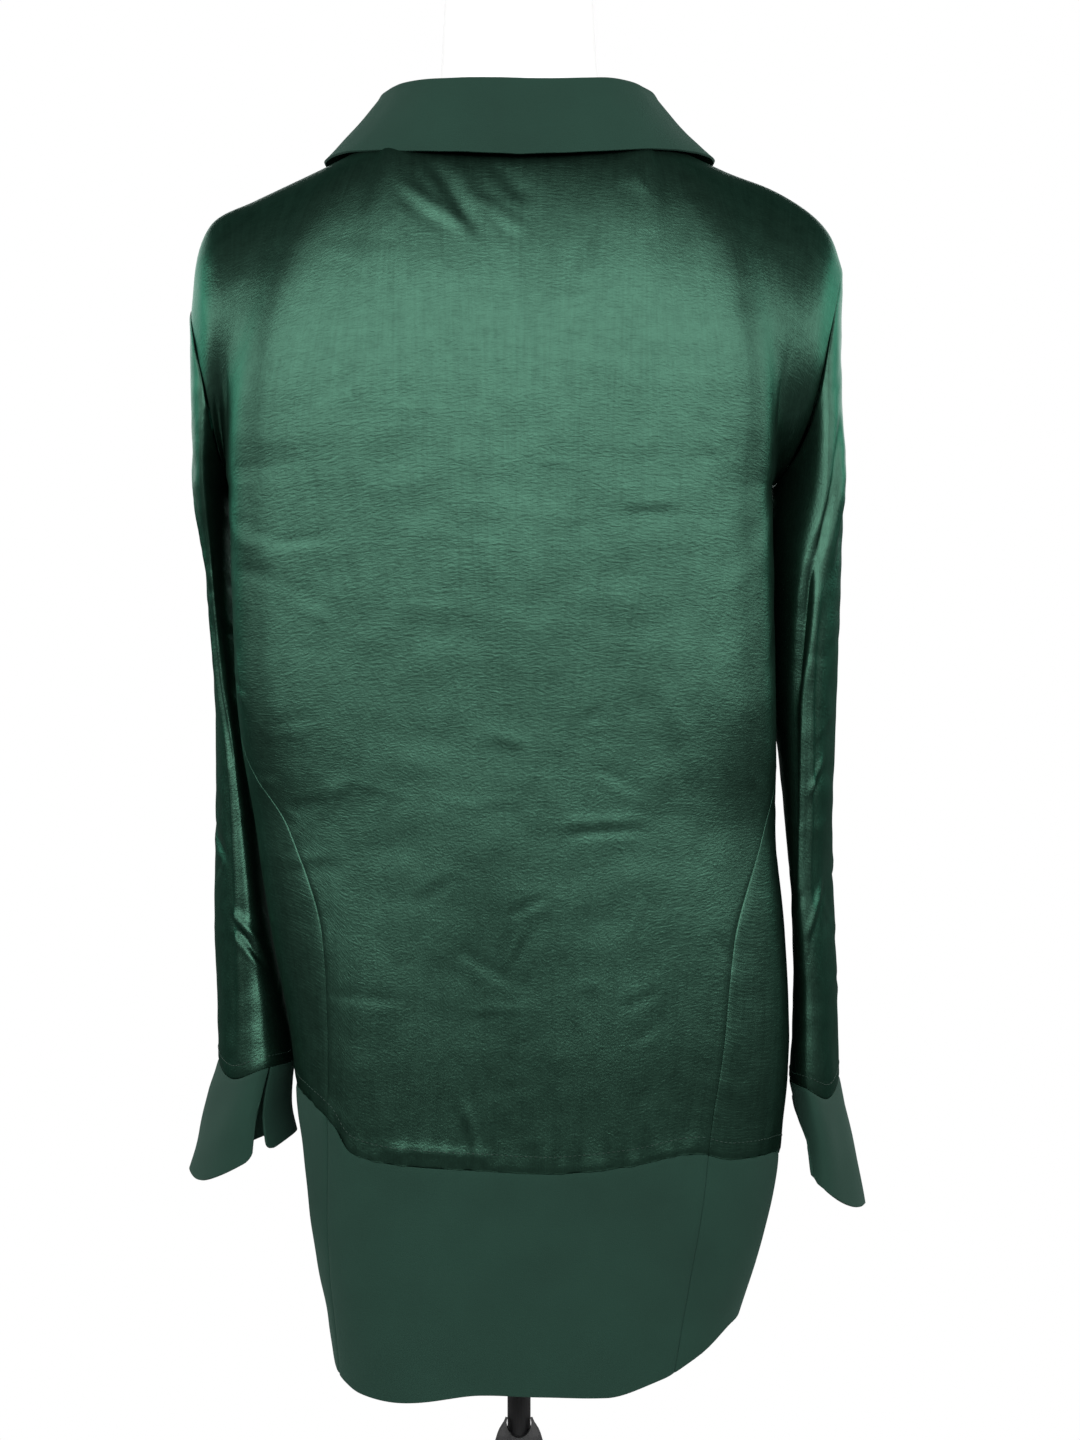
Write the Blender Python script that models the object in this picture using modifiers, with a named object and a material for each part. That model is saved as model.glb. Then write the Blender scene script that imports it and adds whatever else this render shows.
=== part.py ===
"""A pull-on satin tunic on a limbless dress form with a tripod stand.

Units are metres and +Z is up. The tunic's front faces -Y and the wearer's left is +X.
Every cloth piece is an open surface worked out from the tables below and thickened
inwards. Run it with: blender --background --python part.py
"""

import math
from collections import namedtuple

import bmesh
import bpy
import numpy as np
from mathutils import Matrix, Vector

PART_NAME = "tunic_on_dress_form"

# Cloth
SATIN_THICKNESS = 0.0012
CREPE_THICKNESS = 0.0015
SEAM_GAP = 0.0006
SHOULDER_GAP = 0.0010
SIDE_GAP_SHARE = 0.0022

# Body of the tunic: horizontal sections. left and right are the half widths, back and
# front the depths from the pole's axis, and the two seam columns say how many degrees
# each side seam sits behind the side of the section.
BodySection = namedtuple("BodySection", "height left right back front left_seam right_seam")
BODY_SECTIONS = (
    BodySection(0.540, 0.1225, 0.1290, 0.106, 0.118, 34.0, 51.0),
    BodySection(0.600, 0.1298, 0.1485, 0.108, 0.120, 37.0, 52.5),
    BodySection(0.660, 0.1397, 0.1675, 0.110, 0.122, 41.0, 53.5),
    BodySection(0.720, 0.1460, 0.1785, 0.112, 0.124, 44.5, 53.5),
    BodySection(0.790, 0.1545, 0.1835, 0.114, 0.126, 48.0, 52.0),
    BodySection(0.860, 0.1682, 0.1802, 0.114, 0.128, 50.5, 49.0),
    BodySection(0.930, 0.1785, 0.1735, 0.113, 0.130, 46.0, 38.0),
    BodySection(1.010, 0.1860, 0.1712, 0.112, 0.133, 26.0, 20.0),
    BodySection(1.090, 0.1900, 0.1702, 0.112, 0.136, 8.0, 6.0),
    BodySection(1.165, 0.1920, 0.1692, 0.112, 0.134, 0.0, 0.0),
)
BODY_SQUARENESS_BACK = 4.4
BODY_SQUARENESS_FRONT = 2.6
UNDERARM_HEIGHT = 1.165

# Hem band: its top seam and its hem, by turn around the body in degrees from the centre
# back, growing towards the wearer's right.
BandRow = namedtuple("BandRow", "turn seam hem")
BAND_SEAM_LEVEL = 0.71
BAND_MIDDLE_LEVEL = 0.65
BAND_ROWS = (
    BandRow(-90.0, 0.760, 0.588),
    BandRow(-66.0, 0.758, 0.578),
    BandRow(-55.0, 0.753, 0.571),
    BandRow(-45.0, 0.739, 0.564),
    BandRow(-39.0, 0.719, 0.559),
    BandRow(-29.0, 0.712, 0.555),
    BandRow(-10.0, 0.708, 0.560),
    BandRow(6.0, 0.706, 0.559),
    BandRow(22.0, 0.711, 0.559),
    BandRow(34.0, 0.719, 0.570),
    BandRow(41.0, 0.714, 0.582),
    BandRow(54.0, 0.715, 0.602),
    BandRow(90.0, 0.704, 0.612),
    BandRow(135.0, 0.706, 0.604),
    BandRow(180.0, 0.722, 0.592),
    BandRow(225.0, 0.742, 0.588),
    BandRow(270.0, 0.760, 0.588),
)

# Largest folds of the body: a soft ridge (push above 0) or trough along a line from
# (top_turn, top) to (low_turn, low), turns in degrees as above.
Fold = namedtuple("Fold", "top_turn top low_turn low width push")
BODY_FOLDS = (
    Fold(-64.0, 1.300, -66.0, 0.960, 15.0, 0.0100),
    Fold(-102.0, 1.120, -100.0, 0.800, 24.0, -0.0140),
    Fold(-36.0, 1.180, -30.0, 0.860, 9.0, -0.0050),
    Fold(62.0, 1.160, 58.0, 0.930, 12.0, 0.0050),
    Fold(2.0, 1.340, 0.0, 1.120, 6.0, -0.0035),
    Fold(33.0, 1.060, 37.0, 0.760, 8.0, 0.0045),
    Fold(-8.0, 0.900, -4.0, 0.530, 9.0, -0.0080),
    Fold(22.0, 0.840, 19.0, 0.530, 9.0, 0.0050),
    Fold(-33.0, 0.860, -36.0, 0.530, 9.0, 0.0060),
    Fold(150.0, 1.150, 146.0, 0.560, 11.0, 0.0090),
    Fold(180.0, 1.020, 176.0, 0.560, 11.0, -0.0080),
    Fold(208.0, 1.150, 214.0, 0.560, 11.0, 0.0090),
)

# Shoulder seam at y = 0, from the neck to the point where the armhole starts.
ShoulderPoint = namedtuple("ShoulderPoint", "along left_x left_z right_x right_z")
SHOULDER_POINTS = (
    ShoulderPoint(0.00, 0.088, 1.4010, -0.088, 1.4010),
    ShoulderPoint(0.30, 0.138, 1.3785, -0.138, 1.3812),
    ShoulderPoint(0.55, 0.180, 1.3605, -0.172, 1.3685),
    ShoulderPoint(0.76, 0.2080, 1.3470, -0.200, 1.3510),
    ShoulderPoint(0.88, 0.2190, 1.3240, -0.213, 1.3360),
    ShoulderPoint(1.00, 0.2235, 1.2850, -0.2205, 1.3150),
)
NECK_SHARE = 0.38
SHOULDER_SQUARENESS = 2.7
BACK_ROLL_AT_NECK = 48.0
FRONT_ROLL_AT_NECK = 22.0
DRAWN_FROM = 0.35

# Neckline, by turn from the centre back: distance out from the axis along X and Y, and height.
NeckPoint = namedtuple("NeckPoint", "turn x y z")
NECK_POINTS = (
    NeckPoint(0.0, 0.000, 0.074, 1.3900),
    NeckPoint(30.0, 0.046, 0.066, 1.3925),
    NeckPoint(60.0, 0.078, 0.040, 1.3980),
    NeckPoint(90.0, 0.088, 0.000, 1.4010),
    NeckPoint(115.0, 0.080, -0.047, 1.3920),
    NeckPoint(140.0, 0.054, -0.082, 1.3560),
    NeckPoint(160.0, 0.028, -0.112, 1.3080),
    NeckPoint(180.0, 0.000, -0.132, 1.2600),
)

# Collar: how far the roll line and the outer edge stand out from and above the neckline, and
# how far the fall between them bows out.
CollarPoint = namedtuple("CollarPoint", "turn roll_out roll_up edge_out edge_up bow")
COLLAR_POINTS = (
    CollarPoint(0.0, -0.004, 0.041, 0.018, -0.014, 0.0030),
    CollarPoint(35.0, -0.002, 0.039, 0.025, -0.013, 0.0020),
    CollarPoint(65.0, 0.000, 0.034, 0.039, -0.013, -0.0010),
    CollarPoint(90.0, 0.002, 0.031, 0.047, -0.0135, -0.0025),
    CollarPoint(108.0, 0.004, 0.030, 0.048, -0.0130, 0.0010),
    CollarPoint(125.0, 0.005, 0.027, 0.051, -0.0280, 0.0040),
    CollarPoint(140.0, 0.005, 0.023, 0.053, -0.0480, 0.0040),
)
COLLAR_END_TURN = 138.0
COLLAR_ROLL = 0.0032
COLLAR_FRONT_LIFT = 0.0012

# Sleeves: flattened tubes that hang straight down. across and deep are half sizes, and
# turn swings the back edge inwards, in degrees.
SleeveSection = namedtuple("SleeveSection", "height centre_x centre_y across deep turn")
SLEEVE_LEFT = (
    SleeveSection(0.760, 0.1805, -0.002, 0.0275, 0.060, 8.0),
    SleeveSection(0.820, 0.1870, -0.010, 0.0225, 0.061, 10.0),
    SleeveSection(0.880, 0.1940, -0.016, 0.0180, 0.063, 10.0),
    SleeveSection(0.950, 0.1985, -0.026, 0.0140, 0.066, 7.0),
    SleeveSection(1.030, 0.2025, -0.030, 0.0110, 0.067, 2.0),
    SleeveSection(1.110, 0.2062, -0.026, 0.0100, 0.069, -2.0),
    SleeveSection(1.165, 0.2090, -0.012, 0.0125, 0.070, -3.0),
    SleeveSection(1.230, 0.2098, 0.000, 0.0160, 0.064, 0.0),
    SleeveSection(1.320, 0.2095, 0.000, 0.0160, 0.052, 0.0),
)
SLEEVE_RIGHT = (
    SleeveSection(0.760, 0.2035, 0.006, 0.0171, 0.060, 9.0),
    SleeveSection(0.820, 0.2045, 0.004, 0.0144, 0.062, 10.0),
    SleeveSection(0.880, 0.2025, 0.002, 0.0135, 0.065, 11.0),
    SleeveSection(0.950, 0.2000, 0.000, 0.0171, 0.067, 8.0),
    SleeveSection(1.030, 0.1983, 0.000, 0.0199, 0.069, 4.0),
    SleeveSection(1.110, 0.1984, 0.000, 0.0210, 0.070, -1.0),
    SleeveSection(1.165, 0.1992, 0.000, 0.0190, 0.070, -7.0),
    SleeveSection(1.230, 0.2010, 0.000, 0.0207, 0.064, -4.0),
    SleeveSection(1.320, 0.2015, 0.000, 0.0210, 0.052, 0.0),
)
SLEEVE_SQUARENESS = 1.9
ARMHOLE_TOP_LEFT = 1.285
ARMHOLE_TOP_RIGHT = 1.315

# Cuffs: sections from the seam (share 0) to the lower edge (share 1). The last three columns
# say how many degrees each side of the slit stands open.
CuffSection = namedtuple("CuffSection", "share out across deep left_open right_back right_front")
CUFF_SECTIONS = (
    CuffSection(0.00, 0.0000, 1.00, 1.00, 2.0, 2.0, 2.0),
    CuffSection(0.30, 0.0040, 1.06, 1.02, 3.0, 18.0, 28.0),
    CuffSection(0.65, 0.0080, 1.20, 1.06, 5.0, 56.0, 46.0),
    CuffSection(1.00, 0.0095, 1.40, 1.10, 7.0, 68.0, 62.0),
)

# seam is the height of the seam, drop the cuff's depth, slope how much the outer side hangs
# lower, and corner how far the lower edge rises at the outer line.
Cuff = namedtuple("Cuff", "seam drop flare slope slit_turn corner")
CUFF_LEFT = Cuff(0.7640, 0.057, 1.0, 0.47, 103.0, 0.009)
CUFF_RIGHT = Cuff(0.7515, 0.061, 1.1, 0.70, 175.0, 0.004)
CUFF_CORNER_WIDTH = 22.0

# The cuff seam rises all round and dips once, towards the back of the sleeve's outer face.
SEAM_RISE = 0.006
SEAM_DIP = 0.010
SEAM_DIP_TURN = 42.0
SEAM_DIP_WIDTH = 38.0

# Dress form: horizontal sections.
FormSection = namedtuple("FormSection", "height half_width back front")
FORM_SECTIONS = (
    FormSection(0.740, 0.128, 0.086, 0.088),
    FormSection(0.746, 0.134, 0.092, 0.094),
    FormSection(0.800, 0.144, 0.100, 0.098),
    FormSection(0.860, 0.148, 0.102, 0.098),
    FormSection(0.930, 0.138, 0.092, 0.092),
    FormSection(1.010, 0.120, 0.078, 0.088),
    FormSection(1.090, 0.134, 0.086, 0.106),
    FormSection(1.165, 0.148, 0.098, 0.120),
    FormSection(1.230, 0.158, 0.098, 0.106),
    FormSection(1.290, 0.172, 0.088, 0.086),
    FormSection(1.3304, 0.182, 0.074, 0.068),
    FormSection(1.3514, 0.1850, 0.062, 0.056),
    FormSection(1.3654, 0.1650, 0.056, 0.052),
    FormSection(1.3794, 0.1310, 0.053, 0.052),
    FormSection(1.3959, 0.0880, 0.052, 0.050),
    FormSection(1.4080, 0.0690, 0.054, 0.054),
    FormSection(1.4250, 0.0590, 0.054, 0.055),
    FormSection(1.4500, 0.0555, 0.053, 0.054),
    FormSection(1.5050, 0.0520, 0.051, 0.051),
    FormSection(1.5150, 0.0480, 0.047, 0.047),
    FormSection(1.5190, 0.0360, 0.035, 0.035),
)
FORM_SQUARENESS = 2.15

# Stand
POLE_RADIUS = 0.008
POLE_FOOT = 0.450
JOINT_GAP = 0.0003
HUB_TOP = 0.522
HUB_PROFILE = (
    (0.0100, 0.522),
    (0.0150, 0.510),
    (0.0195, 0.495),
    (0.0240, 0.470),
    (0.0250, 0.440),
    (0.0230, 0.430),
)
HUB_VALLEY_RADIUS = 0.0085
HUB_VALLEY_DEPTH = 0.012
LEG_RADIUS = 0.007
LEG_START_OUT = 0.036
LEG_START_HEIGHT = 0.428
LEG_FOOT_OUT = 0.262
BOSS_RADIUS = 0.0095
BOSS_LENGTH = 0.032
FOOT_RADIUS = 0.0105
FOOT_LENGTH = 0.034
LEG_TURNS = (60.0, 180.0, 300.0)
LEG_NAMES = ("left_rear", "front", "right_rear")

# Grid sizes: columns by rows
BODY_COLUMNS = 26
BODY_ROWS_LOW = 19
BODY_ROWS_HIGH = 13
BAND_GRID_ROWS = 6
SLEEVE_COLUMNS = 24
SLEEVE_ROWS = 20
CUFF_COLUMNS = 22
CUFF_ROWS = 4
COLLAR_COLUMNS = 32
FORM_COLUMNS = 28

COLOURS = {
    "satin": ((0.030, 0.105, 0.072), 0.38, 0.15),
    "crepe": ((0.016, 0.060, 0.042), 0.85, 0.0),
    "form_cover": ((0.80, 0.79, 0.76), 0.80, 0.0),
    "black_metal": ((0.012, 0.012, 0.013), 0.45, 0.6),
    "black_rubber": ((0.010, 0.010, 0.010), 0.90, 0.0),
}


def column(rows, name):
    """One named column of a table as an array."""
    return np.array([getattr(row, name) for row in rows], dtype=float)


def read_table(rows, key, name, at):
    """Smooth value of a table's column at the given keys: cubic pieces with no overshoot."""
    keys = column(rows, key)
    values = column(rows, name)
    at = np.clip(np.asarray(at, dtype=float), keys[0], keys[-1])
    steps = np.diff(keys)
    slopes = np.diff(values) / steps
    left = np.concatenate(([slopes[0]], slopes))
    right = np.concatenate((slopes, [slopes[-1]]))
    same_way = left * right > 0.0
    tangents = np.where(same_way, 2.0 * left * right / np.where(same_way, left + right, 1.0), 0.0)
    place = np.clip(np.searchsorted(keys, at, side="right") - 1, 0, len(steps) - 1)
    width = steps[place]
    t = (at - keys[place]) / width
    start = values[place] * (2 * t**3 - 3 * t**2 + 1) + tangents[place] * width * (t**3 - 2 * t**2 + t)
    end = values[place + 1] * (3 * t**2 - 2 * t**3) + tangents[place + 1] * width * (t**3 - t**2)
    return start + end


def smooth_step(value):
    """Goes from 0 to 1 while value goes from 0 to 1, level at both ends."""
    t = np.clip(value, 0.0, 1.0)
    return t * t * (3.0 - 2.0 * t)


def rounded_square(turn, squareness):
    """Cosine and sine parts of a unit superellipse at a turn in radians."""
    c = np.cos(turn)
    s = np.sin(turn)
    reach = (np.abs(c) ** squareness + np.abs(s) ** squareness) ** (-1.0 / squareness)
    return c * reach, s * reach


def fold_push(turn, height):
    """How far the folds push the cloth outwards at a turn in degrees and a height."""
    push = np.zeros(np.broadcast(turn, height).shape)
    for fold in BODY_FOLDS:
        along = (fold.top - height) / (fold.top - fold.low)
        middle = fold.top_turn + (fold.low_turn - fold.top_turn) * along
        aside = (turn - middle + 180.0) % 360.0 - 180.0
        reach = smooth_step((along + 0.12) / 0.3) * smooth_step((1.12 - along) / 0.3)
        push = push + fold.push * reach * np.exp(-((aside / fold.width) ** 2))
    return push


def body_ring(turn, height):
    """Point of the body's section at a turn in degrees from the centre back."""
    angle = np.radians(turn)
    at_back = 0.5 + 0.5 * np.tanh(np.cos(angle) * 6.0)
    squareness = BODY_SQUARENESS_FRONT + (BODY_SQUARENESS_BACK - BODY_SQUARENESS_FRONT) * at_back
    to_back, to_right = rounded_square(angle, squareness)
    share = 0.5 - 0.5 * np.tanh(to_right * 6.0)
    half = share * read_table(BODY_SECTIONS, "height", "left", height)
    half = half + (1.0 - share) * read_table(BODY_SECTIONS, "height", "right", height)
    side = 0.5 + 0.5 * np.tanh(to_back * 6.0)
    depth = side * read_table(BODY_SECTIONS, "height", "back", height)
    depth = depth + (1.0 - side) * read_table(BODY_SECTIONS, "height", "front", height)
    push = fold_push(turn, height)
    x = -(half * to_right + push * np.sin(angle))
    y = depth * to_back + push * np.cos(angle)
    return np.stack((x, y, np.broadcast_to(height, x.shape)), axis=-1)


def panel_turn(is_back, across, height):
    """Turn of a panel's column: across runs from -1 to 1 between the side seams."""
    left_seam = read_table(BODY_SECTIONS, "height", "left_seam", height)
    right_seam = read_table(BODY_SECTIONS, "height", "right_seam", height)
    if is_back:
        return np.where(across < 0.0, across * (90.0 - left_seam), across * (90.0 - right_seam))
    return 180.0 + np.where(across < 0.0, across * (90.0 + right_seam), across * (90.0 + left_seam))


def neckline(turn):
    """Point of the neckline at a turn in degrees, from -180 to 180."""
    size = np.abs(turn)
    x = -np.sign(turn) * read_table(NECK_POINTS, "turn", "x", size)
    y = read_table(NECK_POINTS, "turn", "y", size)
    z = read_table(NECK_POINTS, "turn", "z", size)
    return np.stack((x, y, z), axis=-1)


def seam_height(is_left, turn):
    """Height of the cuff seam at a turn around the sleeve."""
    cuff = CUFF_LEFT if is_left else CUFF_RIGHT
    aside = (turn - SEAM_DIP_TURN + 180.0) % 360.0 - 180.0
    return cuff.seam + SEAM_RISE - SEAM_DIP * np.exp(-((aside / SEAM_DIP_WIDTH) ** 2))


def sleeve_ring(rows, side, turn, height):
    """Point of a sleeve at a turn in degrees from its outer line towards the back."""
    out, back = rounded_square(np.radians(turn), SLEEVE_SQUARENESS)
    out = out * read_table(rows, "height", "across", height)
    back = back * read_table(rows, "height", "deep", height)
    swing = np.radians(read_table(rows, "height", "turn", height))
    x = read_table(rows, "height", "centre_x", height) + out * np.cos(swing) - back * np.sin(swing)
    y = read_table(rows, "height", "centre_y", height) + back * np.cos(swing) + out * np.sin(swing)
    return np.stack((side * x, y, np.broadcast_to(height, x.shape)), axis=-1)


def armhole(is_left, turn):
    """Point of the armhole seam at a turn in degrees: an oblique cut through the sleeve's tube."""
    rows = SLEEVE_LEFT if is_left else SLEEVE_RIGHT
    top = ARMHOLE_TOP_LEFT if is_left else ARMHOLE_TOP_RIGHT
    height = UNDERARM_HEIGHT + (top - UNDERARM_HEIGHT) * (0.5 + 0.5 * np.cos(np.radians(turn)))
    return sleeve_ring(rows, 1.0 if is_left else -1.0, turn, height)


def top_edge(is_back, across):
    """The panel's top edge and how far its column rolls over, by column."""
    size = np.abs(across)
    going_right = across > 0.0 if is_back else across < 0.0
    neck_turn = 90.0 * np.clip(size / NECK_SHARE, 0.0, 1.0)
    if not is_back:
        neck_turn = 180.0 - neck_turn
    neck = neckline(np.where(going_right, neck_turn, -neck_turn))
    along = (size - NECK_SHARE) / (1.0 - NECK_SHARE)
    left = (
        read_table(SHOULDER_POINTS, "along", "left_x", along),
        read_table(SHOULDER_POINTS, "along", "left_z", along),
    )
    right = (
        read_table(SHOULDER_POINTS, "along", "right_x", along),
        read_table(SHOULDER_POINTS, "along", "right_z", along),
    )
    side_y = (0.5 if is_back else -0.5) * SHOULDER_GAP
    seam_x = np.where(going_right, right[0], left[0])
    seam_z = np.where(going_right, right[1], left[1])
    seam = np.stack((seam_x, np.full(seam_x.shape, side_y), seam_z), axis=-1)
    on_neck = (size <= NECK_SHARE)[..., None]
    level = smooth_step(size / NECK_SHARE)
    roll = (BACK_ROLL_AT_NECK if is_back else FRONT_ROLL_AT_NECK) * (1.0 - level) + 90.0 * level
    return np.where(on_neck, neck, seam), np.radians(roll)


def body_upper(is_back, across, rise):
    """Point of a panel above the underarm: each column rolls over to the top edge."""
    start = body_ring(panel_turn(is_back, across, np.array(UNDERARM_HEIGHT)), np.array(UNDERARM_HEIGHT))
    end, roll = top_edge(is_back, across)
    down, up = rounded_square(rise * roll, SHOULDER_SQUARENESS)
    last_down, last_up = rounded_square(roll, SHOULDER_SQUARENESS)
    fall = ((down - last_down) / (1.0 - last_down))[..., None]
    lift = (up / last_up)[..., None]
    level = np.stack((lift[..., 0] ** 1.6, 1.0 - fall[..., 0], lift[..., 0]), axis=-1)
    point = start + (end - start) * level
    turn = panel_turn(is_back, across, np.array(UNDERARM_HEIGHT))
    push = fold_push(turn, point[..., 2]) * (1.0 - smooth_step((rise - 0.55) / 0.4))
    push = push - fold_push(turn, np.array(UNDERARM_HEIGHT)) * (1.0 - smooth_step(rise / 0.9))
    outward = np.stack((-np.sin(np.radians(turn)), np.cos(np.radians(turn)), np.zeros(turn.shape)), axis=-1)
    return point + outward * push[..., None]


def panel_point(is_back, across, rise):
    """Point of a panel above the underarm, drawn to the armhole at both sides."""
    point = body_upper(is_back, across, rise)
    way = 1.0 if is_back else -1.0
    for is_left in (True, False):
        edge = 1.0 if is_left != is_back else -1.0
        hole = armhole(is_left, way * 180.0 * (1.0 - rise))
        hole[..., 1] = way * np.maximum(way * hole[..., 1], 0.5 * SHOULDER_GAP)
        free = body_upper(is_back, np.full(across.shape, edge), rise)
        near = smooth_step((across * edge - DRAWN_FROM) / (1.0 - DRAWN_FROM))[..., None]
        point = point + (hole - free) * near
    return point


def body_panel(is_back):
    """Grid of a satin panel, from the band seam up to the shoulder and neck."""
    across = np.linspace(-1.0, 1.0, BODY_COLUMNS + 1) * (1.0 - SIDE_GAP_SHARE)
    rise_low = np.linspace(0.0, 1.0, BODY_ROWS_LOW + 1)[:-1]
    first_turn = panel_turn(is_back, across, np.array(BAND_SEAM_LEVEL))
    foot = band_height("seam", first_turn) + 0.5 * SEAM_GAP
    height = foot + (UNDERARM_HEIGHT - foot) * rise_low[:, None]
    turn = panel_turn(is_back, np.broadcast_to(across, height.shape), height)
    low = body_ring(turn, height)
    rise = np.linspace(0.0, 1.0, BODY_ROWS_HIGH + 1)[:, None]
    wide = np.broadcast_to(across, (BODY_ROWS_HIGH + 1, across.size))
    high = panel_point(is_back, wide, np.broadcast_to(rise, wide.shape))
    return np.concatenate((low, high), axis=0)


def band_height(name, turn):
    """Height of the band's seam or hem at a turn in degrees."""
    around = (turn + 90.0) % 360.0 - 90.0
    return read_table(BAND_ROWS, "turn", name, around)


def band_panel(is_back):
    """Grid of a hem band, from the hem up to the seam."""
    across = np.linspace(-1.0, 1.0, BODY_COLUMNS + 1) * (1.0 - SIDE_GAP_SHARE)
    turn = panel_turn(is_back, across, np.array(BAND_MIDDLE_LEVEL))
    top_turn = panel_turn(is_back, across, np.array(BAND_SEAM_LEVEL))
    hem = band_height("hem", turn)
    seam = band_height("seam", top_turn) - 0.5 * SEAM_GAP
    rise = np.linspace(0.0, 1.0, BAND_GRID_ROWS + 1)[:, None]
    height = hem + (seam - hem) * rise
    turns = panel_turn(is_back, np.broadcast_to(across, height.shape), height)
    return body_ring(turns, height)


def sleeve_grid(is_left):
    """Grid of a sleeve, closed around, from the cuff seam up to the armhole."""
    rows = SLEEVE_LEFT if is_left else SLEEVE_RIGHT
    side = 1.0 if is_left else -1.0
    turn = np.linspace(0.0, 360.0, SLEEVE_COLUMNS, endpoint=False)
    seam = armhole(is_left, turn)
    top = seam[:, 2] - SEAM_GAP
    foot = seam_height(is_left, turn)
    rise = np.linspace(0.0, 1.0, SLEEVE_ROWS + 1)[:, None]
    height = foot + (top - foot) * rise
    points = sleeve_ring(rows, side, np.broadcast_to(turn, height.shape), height)
    spread = 0.0010 * smooth_step((rise - 0.86) / 0.14)
    points[..., 0] = points[..., 0] + side * spread
    return points


def cuff_ring(is_left, around, share):
    """Point of a cuff: around runs from 0 to 1 between its two ends, and share from 0 at the
    seam to 1 at the lower edge."""
    rows = SLEEVE_LEFT if is_left else SLEEVE_RIGHT
    cuff = CUFF_LEFT if is_left else CUFF_RIGHT
    before = read_table(CUFF_SECTIONS, "share", "left_open" if is_left else "right_front", share)
    after = read_table(CUFF_SECTIONS, "share", "left_open" if is_left else "right_back", share)
    turn = cuff.slit_turn + before + (360.0 - before - after) * around
    height = seam_height(is_left, turn)
    out, back = rounded_square(np.radians(turn), SLEEVE_SQUARENESS)
    across = read_table(rows, "height", "across", height)
    deep = read_table(rows, "height", "deep", height)
    out = out * across * read_table(CUFF_SECTIONS, "share", "across", share)
    back = back * deep * read_table(CUFF_SECTIONS, "share", "deep", share)
    swing = np.radians(read_table(rows, "height", "turn", height))
    aside = out * np.cos(swing) - back * np.sin(swing)
    aside = aside + cuff.flare * read_table(CUFF_SECTIONS, "share", "out", share)
    x = read_table(rows, "height", "centre_x", height) + aside
    y = read_table(rows, "height", "centre_y", height) + back * np.cos(swing) + out * np.sin(swing)
    corner = ((turn + 180.0) % 360.0 - 180.0) / CUFF_CORNER_WIDTH
    z = cuff.seam + (height - cuff.seam) * (1.0 - share) - share * (cuff.drop + cuff.slope * aside)
    z = z + cuff.corner * share**2 * np.exp(-(corner**2))
    return np.stack(((1.0 if is_left else -1.0) * x, y, z), axis=-1)


def cuff_grid(is_left):
    """Grid of a cuff, open at its slit, from its lower edge up to the sleeve."""
    around = np.linspace(0.0, 1.0, CUFF_COLUMNS + 1)
    share = np.linspace(1.0, 0.0, CUFF_ROWS + 1)[:, None]
    points = cuff_ring(is_left, around, share)
    points[..., 2] = points[..., 2] - SEAM_GAP
    return points


def collar_grid():
    """Grid of the folded collar, from its outer edge over the roll line down to the neckline."""
    turn = np.linspace(-COLLAR_END_TURN, COLLAR_END_TURN, COLLAR_COLUMNS + 1)
    size = np.abs(turn)
    base = neckline(turn)
    base[:, 2] = base[:, 2] + SEAM_GAP + COLLAR_FRONT_LIFT * smooth_step((size - 70.0) / 25.0)
    out = np.stack((-np.sin(np.radians(turn)), np.cos(np.radians(turn)), np.zeros(turn.size)), axis=-1)
    roll_out = read_table(COLLAR_POINTS, "turn", "roll_out", size)
    roll_up = read_table(COLLAR_POINTS, "turn", "roll_up", size)
    edge_out = read_table(COLLAR_POINTS, "turn", "edge_out", size)
    edge_up = read_table(COLLAR_POINTS, "turn", "edge_up", size)
    bow = read_table(COLLAR_POINTS, "turn", "bow", size)
    rows = []
    for share in (0.0, 0.25, 0.5, 0.75, 0.93):
        rows.append((
            edge_out + (roll_out + 2.0 * COLLAR_ROLL - edge_out) * share + bow * math.sin(math.pi * share),
            edge_up + (roll_up - COLLAR_ROLL - edge_up) * share,
        ))
    for angle in (20.0, 65.0, 115.0, 160.0):
        rows.append((
            roll_out + COLLAR_ROLL + COLLAR_ROLL * math.cos(math.radians(angle)),
            roll_up - COLLAR_ROLL + COLLAR_ROLL * math.sin(math.radians(angle)),
        ))
    for share in (0.3, 0.65, 1.0):
        rows.append((roll_out * (1.0 - share), (roll_up - COLLAR_ROLL) * (1.0 - share)))
    grid = [base + out * row[0][:, None] + np.array((0.0, 0.0, 1.0)) * row[1][:, None] for row in rows]
    return np.stack(grid, axis=0)


def principled(name):
    """Material of one of the named colours."""
    colour, roughness, metallic = COLOURS[name]
    material = bpy.data.materials.new(name)
    material.use_nodes = True
    shader = material.node_tree.nodes["Principled BSDF"]
    shader.inputs["Base Color"].default_value = (*colour, 1.0)
    shader.inputs["Roughness"].default_value = roughness
    shader.inputs["Metallic"].default_value = metallic
    material.diffuse_color = (*colour, 1.0)
    return material


def add_object(name, mesh, material_name, holder):
    """New object with its own material, linked to the holder collection."""
    item = bpy.data.objects.new(name, mesh)
    holder.objects.link(item)
    mesh.materials.append(principled(material_name))
    return item


def apply_modifiers(item):
    """Replace an object's mesh with its evaluated one."""
    graph = bpy.context.evaluated_depsgraph_get()
    made = bpy.data.meshes.new_from_object(item.evaluated_get(graph))
    item.modifiers.clear()
    item.data = made


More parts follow.
